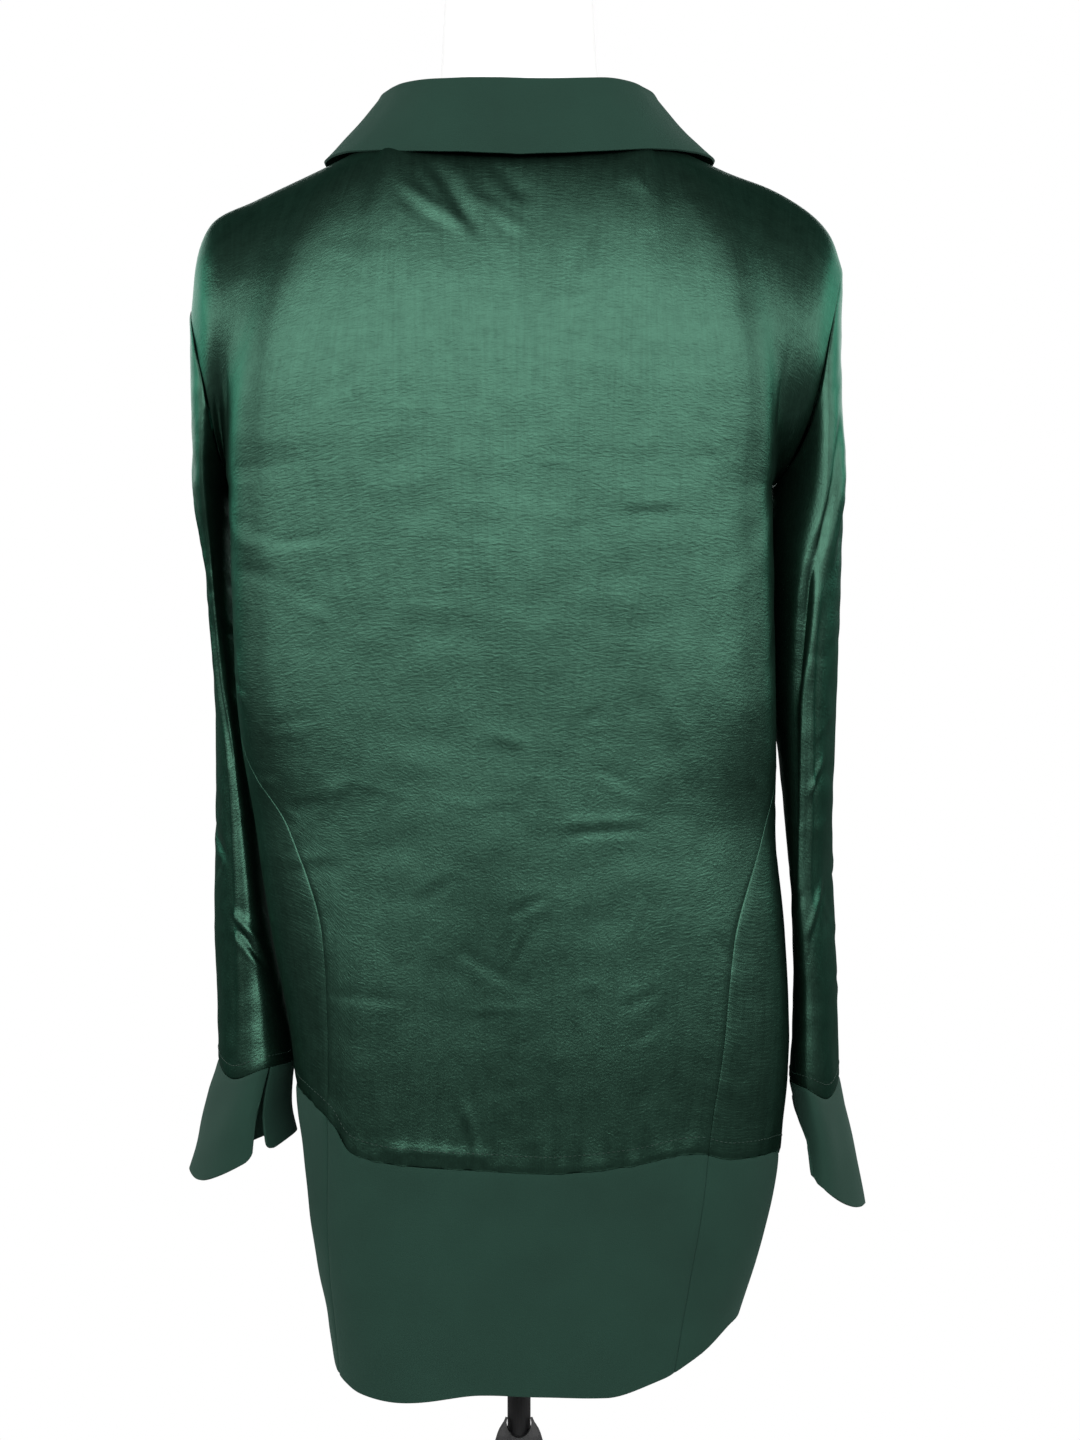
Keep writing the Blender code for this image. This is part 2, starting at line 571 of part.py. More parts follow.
def grid_mesh(name, points, closed):
    """Open surface through a grid of points: columns joined around where closed."""
    rows, columns, _ = points.shape
    row = np.arange(rows - 1)[:, None]
    col = np.arange(columns if closed else columns - 1)[None, :]
    after = (col + 1) % columns
    above = row + 1
    corners = (row * columns + col, row * columns + after, above * columns + after, above * columns + col)
    faces = np.stack([np.broadcast_to(c, (rows - 1, col.size)) for c in corners], axis=-1).reshape(-1, 4)
    mesh = bpy.data.meshes.new(name)
    mesh.from_pydata(points.reshape(-1, 3).tolist(), [], faces.tolist())
    mesh.update()
    return mesh


def cloth(name, points, thickness, material_name, holder, closed=False, flip=False):
    """A cloth wall: the grid is its outer face and the wall goes inwards."""
    if flip:
        points = points[:, ::-1]
    item = add_object(name, grid_mesh(name, points, closed), material_name, holder)
    wall = item.modifiers.new("wall", "SOLIDIFY")
    wall.thickness = thickness
    wall.offset = -1.0
    wall.use_even_offset = False
    apply_modifiers(item)
    return item


def tidy_normals(item):
    """Turn every face of a closed mesh outwards."""
    work = bmesh.new()
    work.from_mesh(item.data)
    bmesh.ops.recalc_face_normals(work, faces=work.faces)
    work.to_mesh(item.data)
    work.free()


def form_torso(holder):
    """The dress form: rings lofted from the flat base to the neck's cap."""
    turn = np.linspace(0.0, 360.0, FORM_COLUMNS, endpoint=False)
    to_back, to_right = rounded_square(np.radians(turn), FORM_SQUARENESS)
    rings = []
    for row in FORM_SECTIONS:
        depth = np.where(to_back > 0.0, row.back, row.front)
        level = np.full(turn.shape, row.height)
        rings.append(np.stack((-row.half_width * to_right, depth * to_back, level), axis=-1))
    mesh = grid_mesh("form_torso", np.stack(rings, axis=0), True)
    work = bmesh.new()
    work.from_mesh(mesh)
    bmesh.ops.holes_fill(work, edges=[edge for edge in work.edges if edge.is_boundary], sides=0)
    bmesh.ops.recalc_face_normals(work, faces=work.faces)
    work.to_mesh(mesh)
    work.free()
    return add_object("form_torso", mesh, "form_cover", holder)


def rod(name, start, end, radius, material_name, holder, sides=20):
    """A round rod between two points, with flat ends."""
    axis = Vector(end) - Vector(start)
    turned = axis.to_track_quat("Z", "Y").to_matrix().to_4x4()
    place = Matrix.Translation((Vector(start) + Vector(end)) / 2.0) @ turned
    work = bmesh.new()
    bmesh.ops.create_cone(
        work,
        cap_ends=True,
        segments=sides,
        radius1=radius,
        radius2=radius,
        depth=axis.length,
        matrix=place,
    )
    mesh = bpy.data.meshes.new(name)
    work.to_mesh(mesh)
    work.free()
    return add_object(name, mesh, material_name, holder)


def combine(item, other, operation):
    """Exact boolean of two objects, kept in the first."""
    step = item.modifiers.new("combine", "BOOLEAN")
    step.operation = operation
    step.solver = "EXACT"
    step.object = other
    apply_modifiers(item)


def polar(turn, out, height):
    """Point at a turn in degrees from +Y towards +X, a distance out, at a height."""
    angle = math.radians(turn)
    return Vector((out * math.sin(angle), out * math.cos(angle), height))


def leg_line(turn):
    """Start of a leg at the hub's boss and its end at the floor."""
    return polar(turn, LEG_START_OUT, LEG_START_HEIGHT), polar(turn, LEG_FOOT_OUT, 0.0)


def hub(holder, cutters):
    """The tripod's hub: a turned body, one boss for each leg and a valley between each two."""
    profile = bpy.data.meshes.new("hub")
    bore = POLE_RADIUS + JOINT_GAP
    outline = [(bore, HUB_TOP)] + list(HUB_PROFILE) + [(bore, HUB_PROFILE[-1][1])]
    count = len(outline)
    edges = [(i, (i + 1) % count) for i in range(count)]
    profile.from_pydata([(r, 0.0, z) for r, z in outline], edges, [])
    item = add_object("hub", profile, "black_metal", holder)
    screw = item.modifiers.new("turned", "SCREW")
    screw.steps = 30
    screw.render_steps = 30
    screw.merge_threshold = 0.00001
    screw.use_merge_vertices = True
    apply_modifiers(item)
    tidy_normals(item)
    for turn in LEG_TURNS:
        start, end = leg_line(turn)
        way = (end - start).normalized()
        inside = start - way * BOSS_LENGTH
        boss = rod("boss_tool", inside, start, BOSS_RADIUS, "black_metal", cutters)
        combine(item, boss, "UNION")
        valley_from = polar(turn + 180.0, bore * 0.2, HUB_TOP)
        valley_to = polar(turn + 180.0, 0.040, HUB_TOP)
        drop = Vector((0.0, 0.0, HUB_VALLEY_RADIUS - HUB_VALLEY_DEPTH))
        valley_start = valley_from + drop
        valley_end = valley_to + drop
        valley = rod("valley_tool", valley_start, valley_end, HUB_VALLEY_RADIUS, "black_metal", cutters)
        combine(item, valley, "DIFFERENCE")
    return item


def legs(holder):
    """Three legs and their rubber feet, cut level with the floor."""
    for name, turn in zip(LEG_NAMES, LEG_TURNS):
        start, end = leg_line(turn)
        way = (end - start).normalized()
        foot_top = end - way * FOOT_LENGTH
        leg_start = start + way * JOINT_GAP
        leg_end = foot_top - way * JOINT_GAP
        rod("leg_" + name, leg_start, leg_end, LEG_RADIUS, "black_metal", holder)
        foot = rod("foot_" + name, foot_top, end + way * 0.02, FOOT_RADIUS, "black_rubber", holder)
        work = bmesh.new()
        work.from_mesh(foot.data)
        everything = list(work.verts) + list(work.edges) + list(work.faces)
        cut = bmesh.ops.bisect_plane(
            work, geom=everything, plane_co=(0.0, 0.0, 0.0), plane_no=(0.0, 0.0, -1.0), clear_outer=True
        )
        rim = [part for part in cut["geom_cut"] if isinstance(part, bmesh.types.BMEdge)]
        bmesh.ops.contextual_create(work, geom=rim)
        bmesh.ops.recalc_face_normals(work, faces=work.faces)
        work.to_mesh(foot.data)
        work.free()


def centre_on_floor(holder):
    """Move the part so that its bounding box stands centred over the origin."""
    lows = []
    highs = []
    for item in holder.objects:
        corners = np.array([vertex.co[:] for vertex in item.data.vertices])
        lows.append(corners.min(axis=0))
        highs.append(corners.max(axis=0))
    low = np.min(lows, axis=0)
    high = np.max(highs, axis=0)
    shift = Vector((-(low[0] + high[0]) / 2.0, -(low[1] + high[1]) / 2.0, -low[2]))
    for item in holder.objects:
        item.location = item.location + shift


def main():
    for item in list(bpy.data.objects):
        bpy.data.objects.remove(item, do_unlink=True)
    holder = bpy.data.collections.new(PART_NAME)
    cutters = bpy.data.collections.new("cutters")
    bpy.context.scene.collection.children.link(holder)
    bpy.context.scene.collection.children.link(cutters)

    cloth("back", body_panel(True), SATIN_THICKNESS, "satin", holder)
    cloth("front", body_panel(False), SATIN_THICKNESS, "satin", holder)
    cloth("back_hem_band", band_panel(True), CREPE_THICKNESS, "crepe", holder)
    cloth("front_hem_band", band_panel(False), CREPE_THICKNESS, "crepe", holder)
    for is_left, name in ((True, "left"), (False, "right")):
        cloth("sleeve_" + name, sleeve_grid(is_left), SATIN_THICKNESS, "satin", holder, True, not is_left)
        cloth("cuff_" + name, cuff_grid(is_left), CREPE_THICKNESS, "crepe", holder, False, not is_left)
    cloth("collar", collar_grid(), CREPE_THICKNESS, "crepe", holder)
    form_torso(holder)
    pole_top = FORM_SECTIONS[0].height - JOINT_GAP
    rod("pole", (0.0, 0.0, POLE_FOOT), (0.0, 0.0, pole_top), POLE_RADIUS, "black_metal", holder, 24)
    hub(holder, cutters)
    legs(holder)
    centre_on_floor(holder)
    for tool in cutters.objects:
        tool.hide_render = True
        tool.display_type = "WIRE"


main()
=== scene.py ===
"""A washed satin tunic with matte crepe trim on a limbless dress form, laid out as an add-on.

Every cloth piece is a surface worked out from tables of sizes in metres, on the form of its
CAD solid, with its folds, creases, seams and stitches. Turns are degrees from the centre
back, growing towards the wearer's right.
"""

import math
from collections import namedtuple

import bmesh
import bpy
import numpy as np
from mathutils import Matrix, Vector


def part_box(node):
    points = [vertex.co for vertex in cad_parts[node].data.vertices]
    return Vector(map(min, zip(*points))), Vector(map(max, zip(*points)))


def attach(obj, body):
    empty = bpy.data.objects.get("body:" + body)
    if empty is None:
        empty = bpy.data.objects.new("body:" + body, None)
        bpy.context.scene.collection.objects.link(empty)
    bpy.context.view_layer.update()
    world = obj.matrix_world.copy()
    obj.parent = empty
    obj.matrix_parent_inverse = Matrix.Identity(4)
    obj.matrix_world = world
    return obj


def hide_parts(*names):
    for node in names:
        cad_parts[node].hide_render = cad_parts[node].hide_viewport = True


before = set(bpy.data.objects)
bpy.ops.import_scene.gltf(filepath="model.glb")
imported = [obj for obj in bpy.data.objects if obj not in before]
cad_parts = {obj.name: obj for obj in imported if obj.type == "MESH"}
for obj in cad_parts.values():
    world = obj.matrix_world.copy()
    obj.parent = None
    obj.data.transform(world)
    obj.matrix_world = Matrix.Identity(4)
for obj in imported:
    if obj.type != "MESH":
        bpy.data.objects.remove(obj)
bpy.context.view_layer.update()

bl_info = {
    "name": "Tunic on a dress form",
    "version": (1, 0, 0),
    "blender": (4, 5, 0),
    "location": "View3D > Sidebar > Tunic",
    "description": "Builds a satin tunic with crepe trim on a dress form, and its studio",
    "category": "Object",
}

POLE_LOW, POLE_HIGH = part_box("pole")
AXIS = np.array([(POLE_LOW[0] + POLE_HIGH[0]) / 2.0, (POLE_LOW[1] + POLE_HIGH[1]) / 2.0, 0.0])

# --- Sizes of the tunic, in metres from the pole's axis ---


def table(columns, *rows):
    """Rows of a table whose columns have names. The first column is its key."""
    return tuple(map(namedtuple("Row", columns)._make, rows))


BODY_SECTIONS = table(
    "height left right back front left_seam right_seam",
    (0.540, 0.1225, 0.1290, 0.106, 0.118, 34.0, 51.0),
    (0.600, 0.1298, 0.1485, 0.108, 0.120, 37.0, 52.5),
    (0.660, 0.1397, 0.1675, 0.110, 0.122, 41.0, 53.5),
    (0.720, 0.1460, 0.1785, 0.112, 0.124, 44.5, 53.5),
    (0.790, 0.1545, 0.1835, 0.114, 0.126, 48.0, 52.0),
    (0.860, 0.1682, 0.1802, 0.114, 0.128, 50.5, 49.0),
    (0.930, 0.1785, 0.1735, 0.113, 0.130, 46.0, 38.0),
    (1.010, 0.1860, 0.1712, 0.112, 0.133, 26.0, 20.0),
    (1.090, 0.1900, 0.1702, 0.112, 0.136, 8.0, 6.0),
    (1.165, 0.1920, 0.1692, 0.112, 0.134, 0.0, 0.0),
)
BODY_SQUARENESS_BACK = 4.4
BODY_SQUARENESS_FRONT = 2.6
UNDERARM_HEIGHT = 1.165
GIRTH_PER_DEGREE = 0.00290
BACK_FOLD_EASE = 0.70
CHEST_SQUARENESS = 2.8
CHEST_FROM = 0.93
CHEST_FADE = 0.10
SIDE_SEAM_FADE = 0.93

BAND_ROWS = table(
    "turn seam hem",
    (-90.0, 0.760, 0.588),
    (-66.0, 0.758, 0.578),
    (-55.0, 0.753, 0.571),
    (-45.0, 0.739, 0.564),
    (-39.0, 0.719, 0.559),
    (-29.0, 0.712, 0.555),
    (-10.0, 0.708, 0.560),
    (6.0, 0.706, 0.559),
    (22.0, 0.711, 0.559),
    (34.0, 0.719, 0.570),
    (41.0, 0.714, 0.582),
    (54.0, 0.715, 0.602),
    (90.0, 0.704, 0.612),
    (135.0, 0.706, 0.604),
    (180.0, 0.722, 0.592),
    (225.0, 0.742, 0.588),
    (270.0, 0.760, 0.588),
)

BAND_SEAM_LEVEL = 0.71
BAND_MIDDLE_LEVEL = 0.65

# Large soft folds, the ones that the CAD solids have too.
BODY_FOLDS = table(
    "top_turn top low_turn low width push",
    (-64.0, 1.300, -66.0, 0.960, 15.0, 0.0100),
    (-102.0, 1.120, -100.0, 0.800, 24.0, -0.0140),
    (-36.0, 1.180, -30.0, 0.860, 9.0, -0.0050),
    (62.0, 1.160, 58.0, 0.930, 12.0, 0.0050),
    (2.0, 1.340, 0.0, 1.120, 6.0, -0.0035),
    (33.0, 1.060, 37.0, 0.760, 8.0, 0.0045),
    (-8.0, 0.900, -4.0, 0.530, 9.0, -0.0080),
    (22.0, 0.840, 19.0, 0.530, 9.0, 0.0050),
    (-33.0, 0.860, -36.0, 0.530, 9.0, 0.0060),
    (150.0, 1.150, 146.0, 0.560, 11.0, 0.0090),
    (180.0, 1.020, 176.0, 0.560, 11.0, -0.0080),
    (208.0, 1.150, 214.0, 0.560, 11.0, 0.0090),
)

# Creases seen from a step away: a soft line from one (turn, height) to another. width
# and push are metres, and a push below 0 is a trough.
CREASE_COLUMNS = "turn_a height_a turn_b height_b width push"
BODY_CREASES = table(
    CREASE_COLUMNS,
    (-21.0, 1.357, -11.0, 1.331, 0.0050, 0.0012),
    (-15.0, 1.372, -7.0, 1.325, 0.0040, -0.0012),
    (-10.5, 1.372, -5.5, 1.328, 0.0035, 0.0012),
    (-3.5, 1.370, 1.0, 1.346, 0.0040, -0.0012),
    (-6.0, 1.347, 0.0, 1.325, 0.0035, 0.0009),
    (2.5, 1.350, 3.5, 1.255, 0.0060, -0.0009),
    (22.0, 1.364, 27.0, 1.352, 0.0040, 0.0014),
    (9.0, 0.935, 25.0, 0.937, 0.0042, 0.0004),
    (13.0, 0.930, 24.0, 0.932, 0.0036, -0.0003),
    (-53.0, 1.044, -51.0, 1.014, 0.0035, 0.0008),
    (-57.0, 1.030, -50.0, 1.022, 0.0030, -0.0006),
    (29.0, 1.022, 34.0, 0.974, 0.0060, 0.0004),
    (-12.5, 0.748, -9.5, 0.713, 0.0038, 0.0010),
    (-30.0, 0.722, -8.0, 0.717, 0.0040, 0.0010),
    (-62.0, 1.150, -40.0, 1.105, 0.0080, 0.0005),
    (60.0, 1.158, 42.0, 1.090, 0.0080, 0.0005),
    (66.0, 1.120, 52.0, 1.040, 0.0060, -0.0006),
    (-70.0, 1.235, -58.0, 1.180, 0.0060, -0.0007),
    (70.0, 1.250, 60.0, 1.190, 0.0060, -0.0006),
    (140.0, 1.190, 160.0, 1.130, 0.0090, 0.0018),
    (220.0, 1.190, 200.0, 1.130, 0.0090, 0.0018),
    (168.0, 0.930, 186.0, 0.934, 0.0040, 0.0016),
    (200.0, 0.840, 222.0, 0.832, 0.0040, -0.0014),
    (130.0, 1.010, 142.0, 1.000, 0.0040, 0.0015),
)

SHOULDER_POINTS = table(
    "along left_x left_z right_x right_z",
    (0.00, 0.088, 1.4010, -0.088, 1.4010),
    (0.30, 0.138, 1.3785, -0.138, 1.3812),
    (0.55, 0.180, 1.3605, -0.172, 1.3685),
    (0.76, 0.2080, 1.3470, -0.200, 1.3510),
    (0.88, 0.2190, 1.3240, -0.213, 1.3360),
    (1.00, 0.2235, 1.2850, -0.2205, 1.3150),
)
NECK_SHARE = 0.38
SHOULDER_SQUARENESS = 3.2
BACK_ROLL_AT_NECK = 48.0
FRONT_ROLL_AT_NECK = 22.0
DRAWN_FROM = 0.35

NECK_POINTS = table(
    "turn x y z",
    (0.0, 0.000, 0.074, 1.3900),
    (30.0, 0.046, 0.066, 1.3925),
    (60.0, 0.078, 0.040, 1.3980),
    (90.0, 0.088, 0.000, 1.4010),
    (115.0, 0.080, -0.047, 1.3920),
    (140.0, 0.054, -0.082, 1.3560),
    (160.0, 0.028, -0.112, 1.3080),
    (180.0, 0.000, -0.132, 1.2600),
)

COLLAR_POINTS = table(
    "turn roll_out roll_up edge_out edge_up bow",
    (0.0, -0.004, 0.041, 0.018, -0.014, 0.0030),
    (35.0, -0.002, 0.039, 0.025, -0.013, 0.0020),
    (65.0, 0.000, 0.034, 0.039, -0.013, -0.0010),
    (90.0, 0.002, 0.031, 0.047, -0.0135, -0.0025),
    (108.0, 0.004, 0.030, 0.048, -0.0130, 0.0010),
    (125.0, 0.005, 0.027, 0.051, -0.0280, 0.0040),
    (140.0, 0.005, 0.023, 0.053, -0.0480, 0.0040),
)
COLLAR_END_TURN = 138.0
COLLAR_ROLL = 0.0032
COLLAR_FRONT_LIFT = 0.0012
COLLAR_SEAM_CLEAR = 0.0004

SLEEVE_LEFT = table(
    "height centre_x centre_y across deep turn",
    (0.760, 0.1805, -0.002, 0.0275, 0.060, 8.0),
    (0.820, 0.1870, -0.010, 0.0225, 0.061, 10.0),
    (0.880, 0.1940, -0.016, 0.0180, 0.063, 10.0),
    (0.950, 0.1985, -0.026, 0.0140, 0.066, 7.0),
    (1.030, 0.2025, -0.030, 0.0110, 0.067, 2.0),
    (1.110, 0.2062, -0.026, 0.0100, 0.069, -2.0),
    (1.165, 0.2090, -0.012, 0.0125, 0.070, -3.0),
    (1.230, 0.2098, 0.000, 0.0160, 0.064, 0.0),
    (1.320, 0.2095, 0.000, 0.0160, 0.052, 0.0),
)
SLEEVE_RIGHT = table(
    "height centre_x centre_y across deep turn",
    (0.760, 0.2035, 0.006, 0.0171, 0.060, 9.0),
    (0.820, 0.2045, 0.004, 0.0144, 0.062, 10.0),
    (0.880, 0.2025, 0.002, 0.0135, 0.065, 11.0),
    (0.950, 0.2000, 0.000, 0.0171, 0.067, 8.0),
    (1.030, 0.1967, 0.000, 0.0232, 0.069, 4.0),
    (1.110, 0.1953, 0.000, 0.0268, 0.070, -1.0),
    (1.165, 0.1972, 0.000, 0.0230, 0.070, -7.0),
    (1.230, 0.2010, 0.000, 0.0207, 0.064, -4.0),
    (1.320, 0.2015, 0.000, 0.0210, 0.052, 0.0),
)
SLEEVE_SQUARENESS = 1.9
SLEEVE_PER_DEGREE = 0.28 / 360.0
ARMHOLE_STEP = 0.0008

# Dress form, as its CAD rows: horizontal sections.
FORM_SECTIONS = table(
    "row height half_width back front",
    (0, 0.7400, 0.1280, 0.086, 0.088),
    (1, 0.7460, 0.1340, 0.092, 0.094),
    (2, 0.8000, 0.1440, 0.100, 0.098),
    (3, 0.8600, 0.1480, 0.102, 0.098),
    (4, 0.9300, 0.1380, 0.092, 0.092),
    (5, 1.0100, 0.1200, 0.078, 0.088),
    (6, 1.0900, 0.1340, 0.086, 0.106),
    (7, 1.1650, 0.1480, 0.098, 0.120),
    (8, 1.2300, 0.1580, 0.098, 0.106),
    (9, 1.2900, 0.1720, 0.088, 0.086),
    (10, 1.3304, 0.1820, 0.074, 0.068),
    (11, 1.3514, 0.1850, 0.062, 0.056),
    (12, 1.3654, 0.1650, 0.056, 0.052),
    (13, 1.3794, 0.1310, 0.053, 0.052),
    (14, 1.3959, 0.0880, 0.052, 0.050),
    (15, 1.4080, 0.0690, 0.054, 0.054),
    (16, 1.4250, 0.0590, 0.054, 0.055),
    (17, 1.4500, 0.0555, 0.053, 0.054),
    (18, 1.5050, 0.0520, 0.051, 0.051),
    (19, 1.5150, 0.0480, 0.047, 0.047),
    (20, 1.5190, 0.0360, 0.035, 0.035),
)
FORM_SQUARENESS = 2.15
FORM_INSET = 0.0016
CAP_RISE = 0.0008

# Creases of a sleeve: turns from its outer line towards the back.
SLEEVE_CREASES_LEFT = table(
    CREASE_COLUMNS,
    (92.0, 1.120, 60.0, 0.820, 0.0045, 0.0016),
    (58.0, 1.080, 84.0, 0.980, 0.0050, -0.0022),
    (60.0, 0.872, 110.0, 0.850, 0.0040, 0.0022),
    (62.0, 0.862, 108.0, 0.840, 0.0035, -0.0018),
    (20.0, 1.180, 64.0, 1.110, 0.0060, 0.0016),
    (-30.0, 1.000, -80.0, 0.960, 0.0050, 0.0018),
    (200.0, 1.060, 240.0, 0.990, 0.0050, 0.0014),
    (0.0, 0.930, 46.0, 0.910, 0.0045, -0.0014),
    (-20.0, 1.160, -60.0, 1.100, 0.0060, -0.0014),
)
SLEEVE_CREASES_RIGHT = table(
    CREASE_COLUMNS,
    (88.0, 1.150, 70.0, 0.900, 0.0045, 0.0018),
    (58.0, 1.195, 90.0, 1.098, 0.0060, -0.0036),
    (90.0, 1.098, 108.0, 1.020, 0.0070, -0.0050),
    (108.0, 1.020, 114.0, 0.895, 0.0070, -0.0044),
    (50.0, 0.975, 78.0, 0.955, 0.0040, 0.0016),
    (40.0, 0.890, 82.0, 0.860, 0.0045, 0.0018),
    (30.0, 1.200, 60.0, 1.110, 0.0060, 0.0014),
    (-30.0, 1.040, -76.0, 0.990, 0.0050, 0.0018),
    (-10.0, 0.900, -60.0, 0.880, 0.0045, -0.0014),
    (190.0, 1.000, 230.0, 0.960, 0.0050, 0.0014),
)

CUFF_SECTIONS = table(
    "share out across deep left_open right_back right_front",
    (0.00, 0.0000, 1.00, 1.00, 2.0, 2.0, 2.0),
    (0.30, 0.0040, 1.06, 1.02, 3.0, 18.0, 28.0),
    (0.65, 0.0080, 1.20, 1.06, 5.0, 56.0, 46.0),
    (1.00, 0.0095, 1.40, 1.10, 7.0, 68.0, 62.0),
)
CUFF_LEFT, CUFF_RIGHT = table(
    "seam drop flare slope slit_turn corner",
    (0.7640, 0.057, 1.0, 0.47, 103.0, 0.009),
    (0.7515, 0.061, 1.1, 0.70, 175.0, 0.004),
)
CUFF_CORNER_WIDTH = 22.0
CUFF_GIRTH = 0.22
CUFF_SEAM_CLEAR = 0.0002
CORNER_RADIUS = 0.007

# The cuff seam rises all round and dips once, towards the back of the sleeve's outer face.
SEAM_RISE = 0.006
SEAM_DIP = 0.010
SEAM_DIP_TURN = 42.0
SEAM_DIP_WIDTH = 38.0

# What differs between the sides. The two open columns name the cuff's columns before and
# after its slit, and seed is added to the seeds of its random fields.
LEFT, RIGHT = table(
    "name way rows creases cuff armhole_top open_before open_after seed",
    ("left", 1.0, SLEEVE_LEFT, SLEEVE_CREASES_LEFT, CUFF_LEFT, 1.285, "left_open", "left_open", 0),
    ("right", -1.0, SLEEVE_RIGHT, SLEEVE_CREASES_RIGHT, CUFF_RIGHT, 1.315, "right_front", "right_back", 1),
)
# The two halves of the body: whether it is the back, and its name.
PANELS = ((True, "back"), (False, "front"))

# Sewn edges sink a little. BOTH_ENDS and LAST_END say at which ends of a grid's rows or columns.
SEAM_DEPTH = 0.0006
SEAM_REACH = 0.0016
BOTH_ENDS = (False, True)
LAST_END = (True,)

STITCH_LENGTH = 0.0022
STITCH_PITCH = 0.0032
THREAD_RADIUS = 0.00022
THREAD_SIDES = 6
BAND_STITCH_ROW = 5
CUFF_STITCH_ROW = 4

# How each piece is cut: its cloth, how it is held, its known flat size in metres, which is
# its width or its length, and the share of the flat rectangle that it fills.
PANEL_CUT, BAND_CUT, SLEEVE_CUT, CUFF_CUT, COLLAR_CUT = table(
    "cloth held width length fill",
    ("satin", "draped", 0.60, 0.0, 0.90),
    ("crepe", "hung", 0.0, 0.17, 0.92),
    ("satin", "hung", 0.0, 0.53, 0.92),
    ("crepe", "hung", 0.0, 0.08, 0.95),
    ("crepe", "folded", 0.0, 0.11, 0.92),
)

# Soft strips, placed from the pole's axis and all aimed at the same height on it.
LIGHT_AIM = 1.20
LAMPS = table(
    "name x y z width height power",
    ("key_light", 0.0, 2.7, 1.88, 6.0, 0.98, "key_power"),
    ("side_light_left", 2.8, -0.1, 1.88, 4.4, 0.98, "side_power"),
    ("side_light_right", -2.8, -0.1, 1.88, 4.4, 0.98, "side_power"),
    ("front_light", 0.0, -2.7, 1.88, 6.0, 0.98, "front_power"),
    ("top_light", 0.0, 2.2, 2.95, 6.0, 0.9, "top_power"),
)
FLOOR_LEVEL = -0.0005
FLOOR_RINGS = 4
FLOOR_SIDES = 96
CAMERA_DISTANCE = 2.0
CAMERA_HEIGHT = 1.003
CAMERA_ASIDE = -0.0145
PHOTO_WIDTH = 1080.0
FOCAL_PIXELS = 2892.0
SENSOR_WIDTH = 36.0

# Scale of a pattern that is stretched no way.
EVEN = (1.0, 1.0, 1.0)


# --- Shared formulas ---


def read(rows, at, *names):
    """Smooth values of the named columns where the first column is at: cubic pieces whose
    slopes are the harmonic mean of their neighbours' slopes, so that no piece overshoots."""
    keys, *columns = (
        np.array([getattr(row, name) for row in rows], dtype=float) for name in (rows[0]._fields[0], *names)
    )
    at = np.clip(np.asarray(at, dtype=float), keys[0], keys[-1])
    steps = np.diff(keys)
    place = np.clip(np.searchsorted(keys, at, side="right") - 1, 0, len(steps) - 1)
    width = steps[place]
    t = (at - keys[place]) / width
    found = []
    for values in columns:
        slopes = np.diff(values) / steps
        left = np.concatenate(([slopes[0]], slopes))
        right = np.concatenate((slopes, [slopes[-1]]))
        same_way = left * right > 0.0
        tangents = np.where(same_way, 2.0 * left * right / np.where(same_way, left + right, 1.0), 0.0)
        start = values[place] * (2 * t**3 - 3 * t**2 + 1) + tangents[place] * width * (t**3 - 2 * t**2 + t)
        end = values[place + 1] * (3 * t**2 - 2 * t**3) + tangents[place + 1] * width * (t**3 - t**2)
        found.append(start + end)
    return found if len(found) > 1 else found[0]


def smooth_step(value):
    """Goes from 0 to 1 while value goes from 0 to 1, level at both ends: 3t^2 - 2t^3."""
    t = np.clip(value, 0.0, 1.0)
    return t * t * (3.0 - 2.0 * t)


def soft_side(value, sharpness=6.0):
    """Goes softly from 0 where value is below 0 to 1 where it is above: half a tanh."""
    return 0.5 + 0.5 * np.tanh(value * sharpness)


def mix(one, other, share):
    """One where share is 1, the other where it is 0, and between them in proportion."""
    return share * one + (1.0 - share) * other


def bell(distance, width):
    """A bell curve: e to the power of minus (distance / width) squared."""
    return np.exp(-((distance / width) ** 2))


def wrapped(turn):
    """A turn brought between -180 and 180 degrees."""
    return (turn + 180.0) % 360.0 - 180.0


def outward(turn):
    """Level unit vector out of the body at a turn."""
    angle = np.radians(turn)
    return np.stack((-np.sin(angle), np.cos(angle), np.zeros(angle.shape)), axis=-1)


def unit(vectors):
    """Vectors divided by their lengths."""
    return vectors / np.maximum(np.linalg.norm(vectors, axis=-1, keepdims=True), 1e-12)


def rounded_square(turn, squareness):
    """Cosine and sine of a turn in radians, each divided by (|cos|^n + |sin|^n)^(1/n)."""
    c = np.cos(turn)
    s = np.sin(turn)
    reach = (np.abs(c) ** squareness + np.abs(s) ** squareness) ** (-1.0 / squareness)
    return c * reach, s * reach


def wander(points, size, seed, squash=(1.0, 1.0, 1.0), waves=20):
    """Smooth field between about -1 and 1: the mean of sine waves in seeded random
    directions, with a wavelength near size and the axes stretched by squash."""
    draw = np.random.default_rng(seed)
    ways = draw.normal(size=(waves, 3))
    ways = ways / np.linalg.norm(ways, axis=1, keepdims=True)
    ways = ways * np.array(squash) * (2.0 * math.pi / size) * draw.uniform(0.7, 1.4, (waves, 1))
    phase = draw.uniform(0.0, 2.0 * math.pi, waves)
    total = np.zeros(points.shape[:-1])
    for way, start in zip(ways, phase):
        total = total + np.sin(points @ way + start)
    return total / math.sqrt(waves)


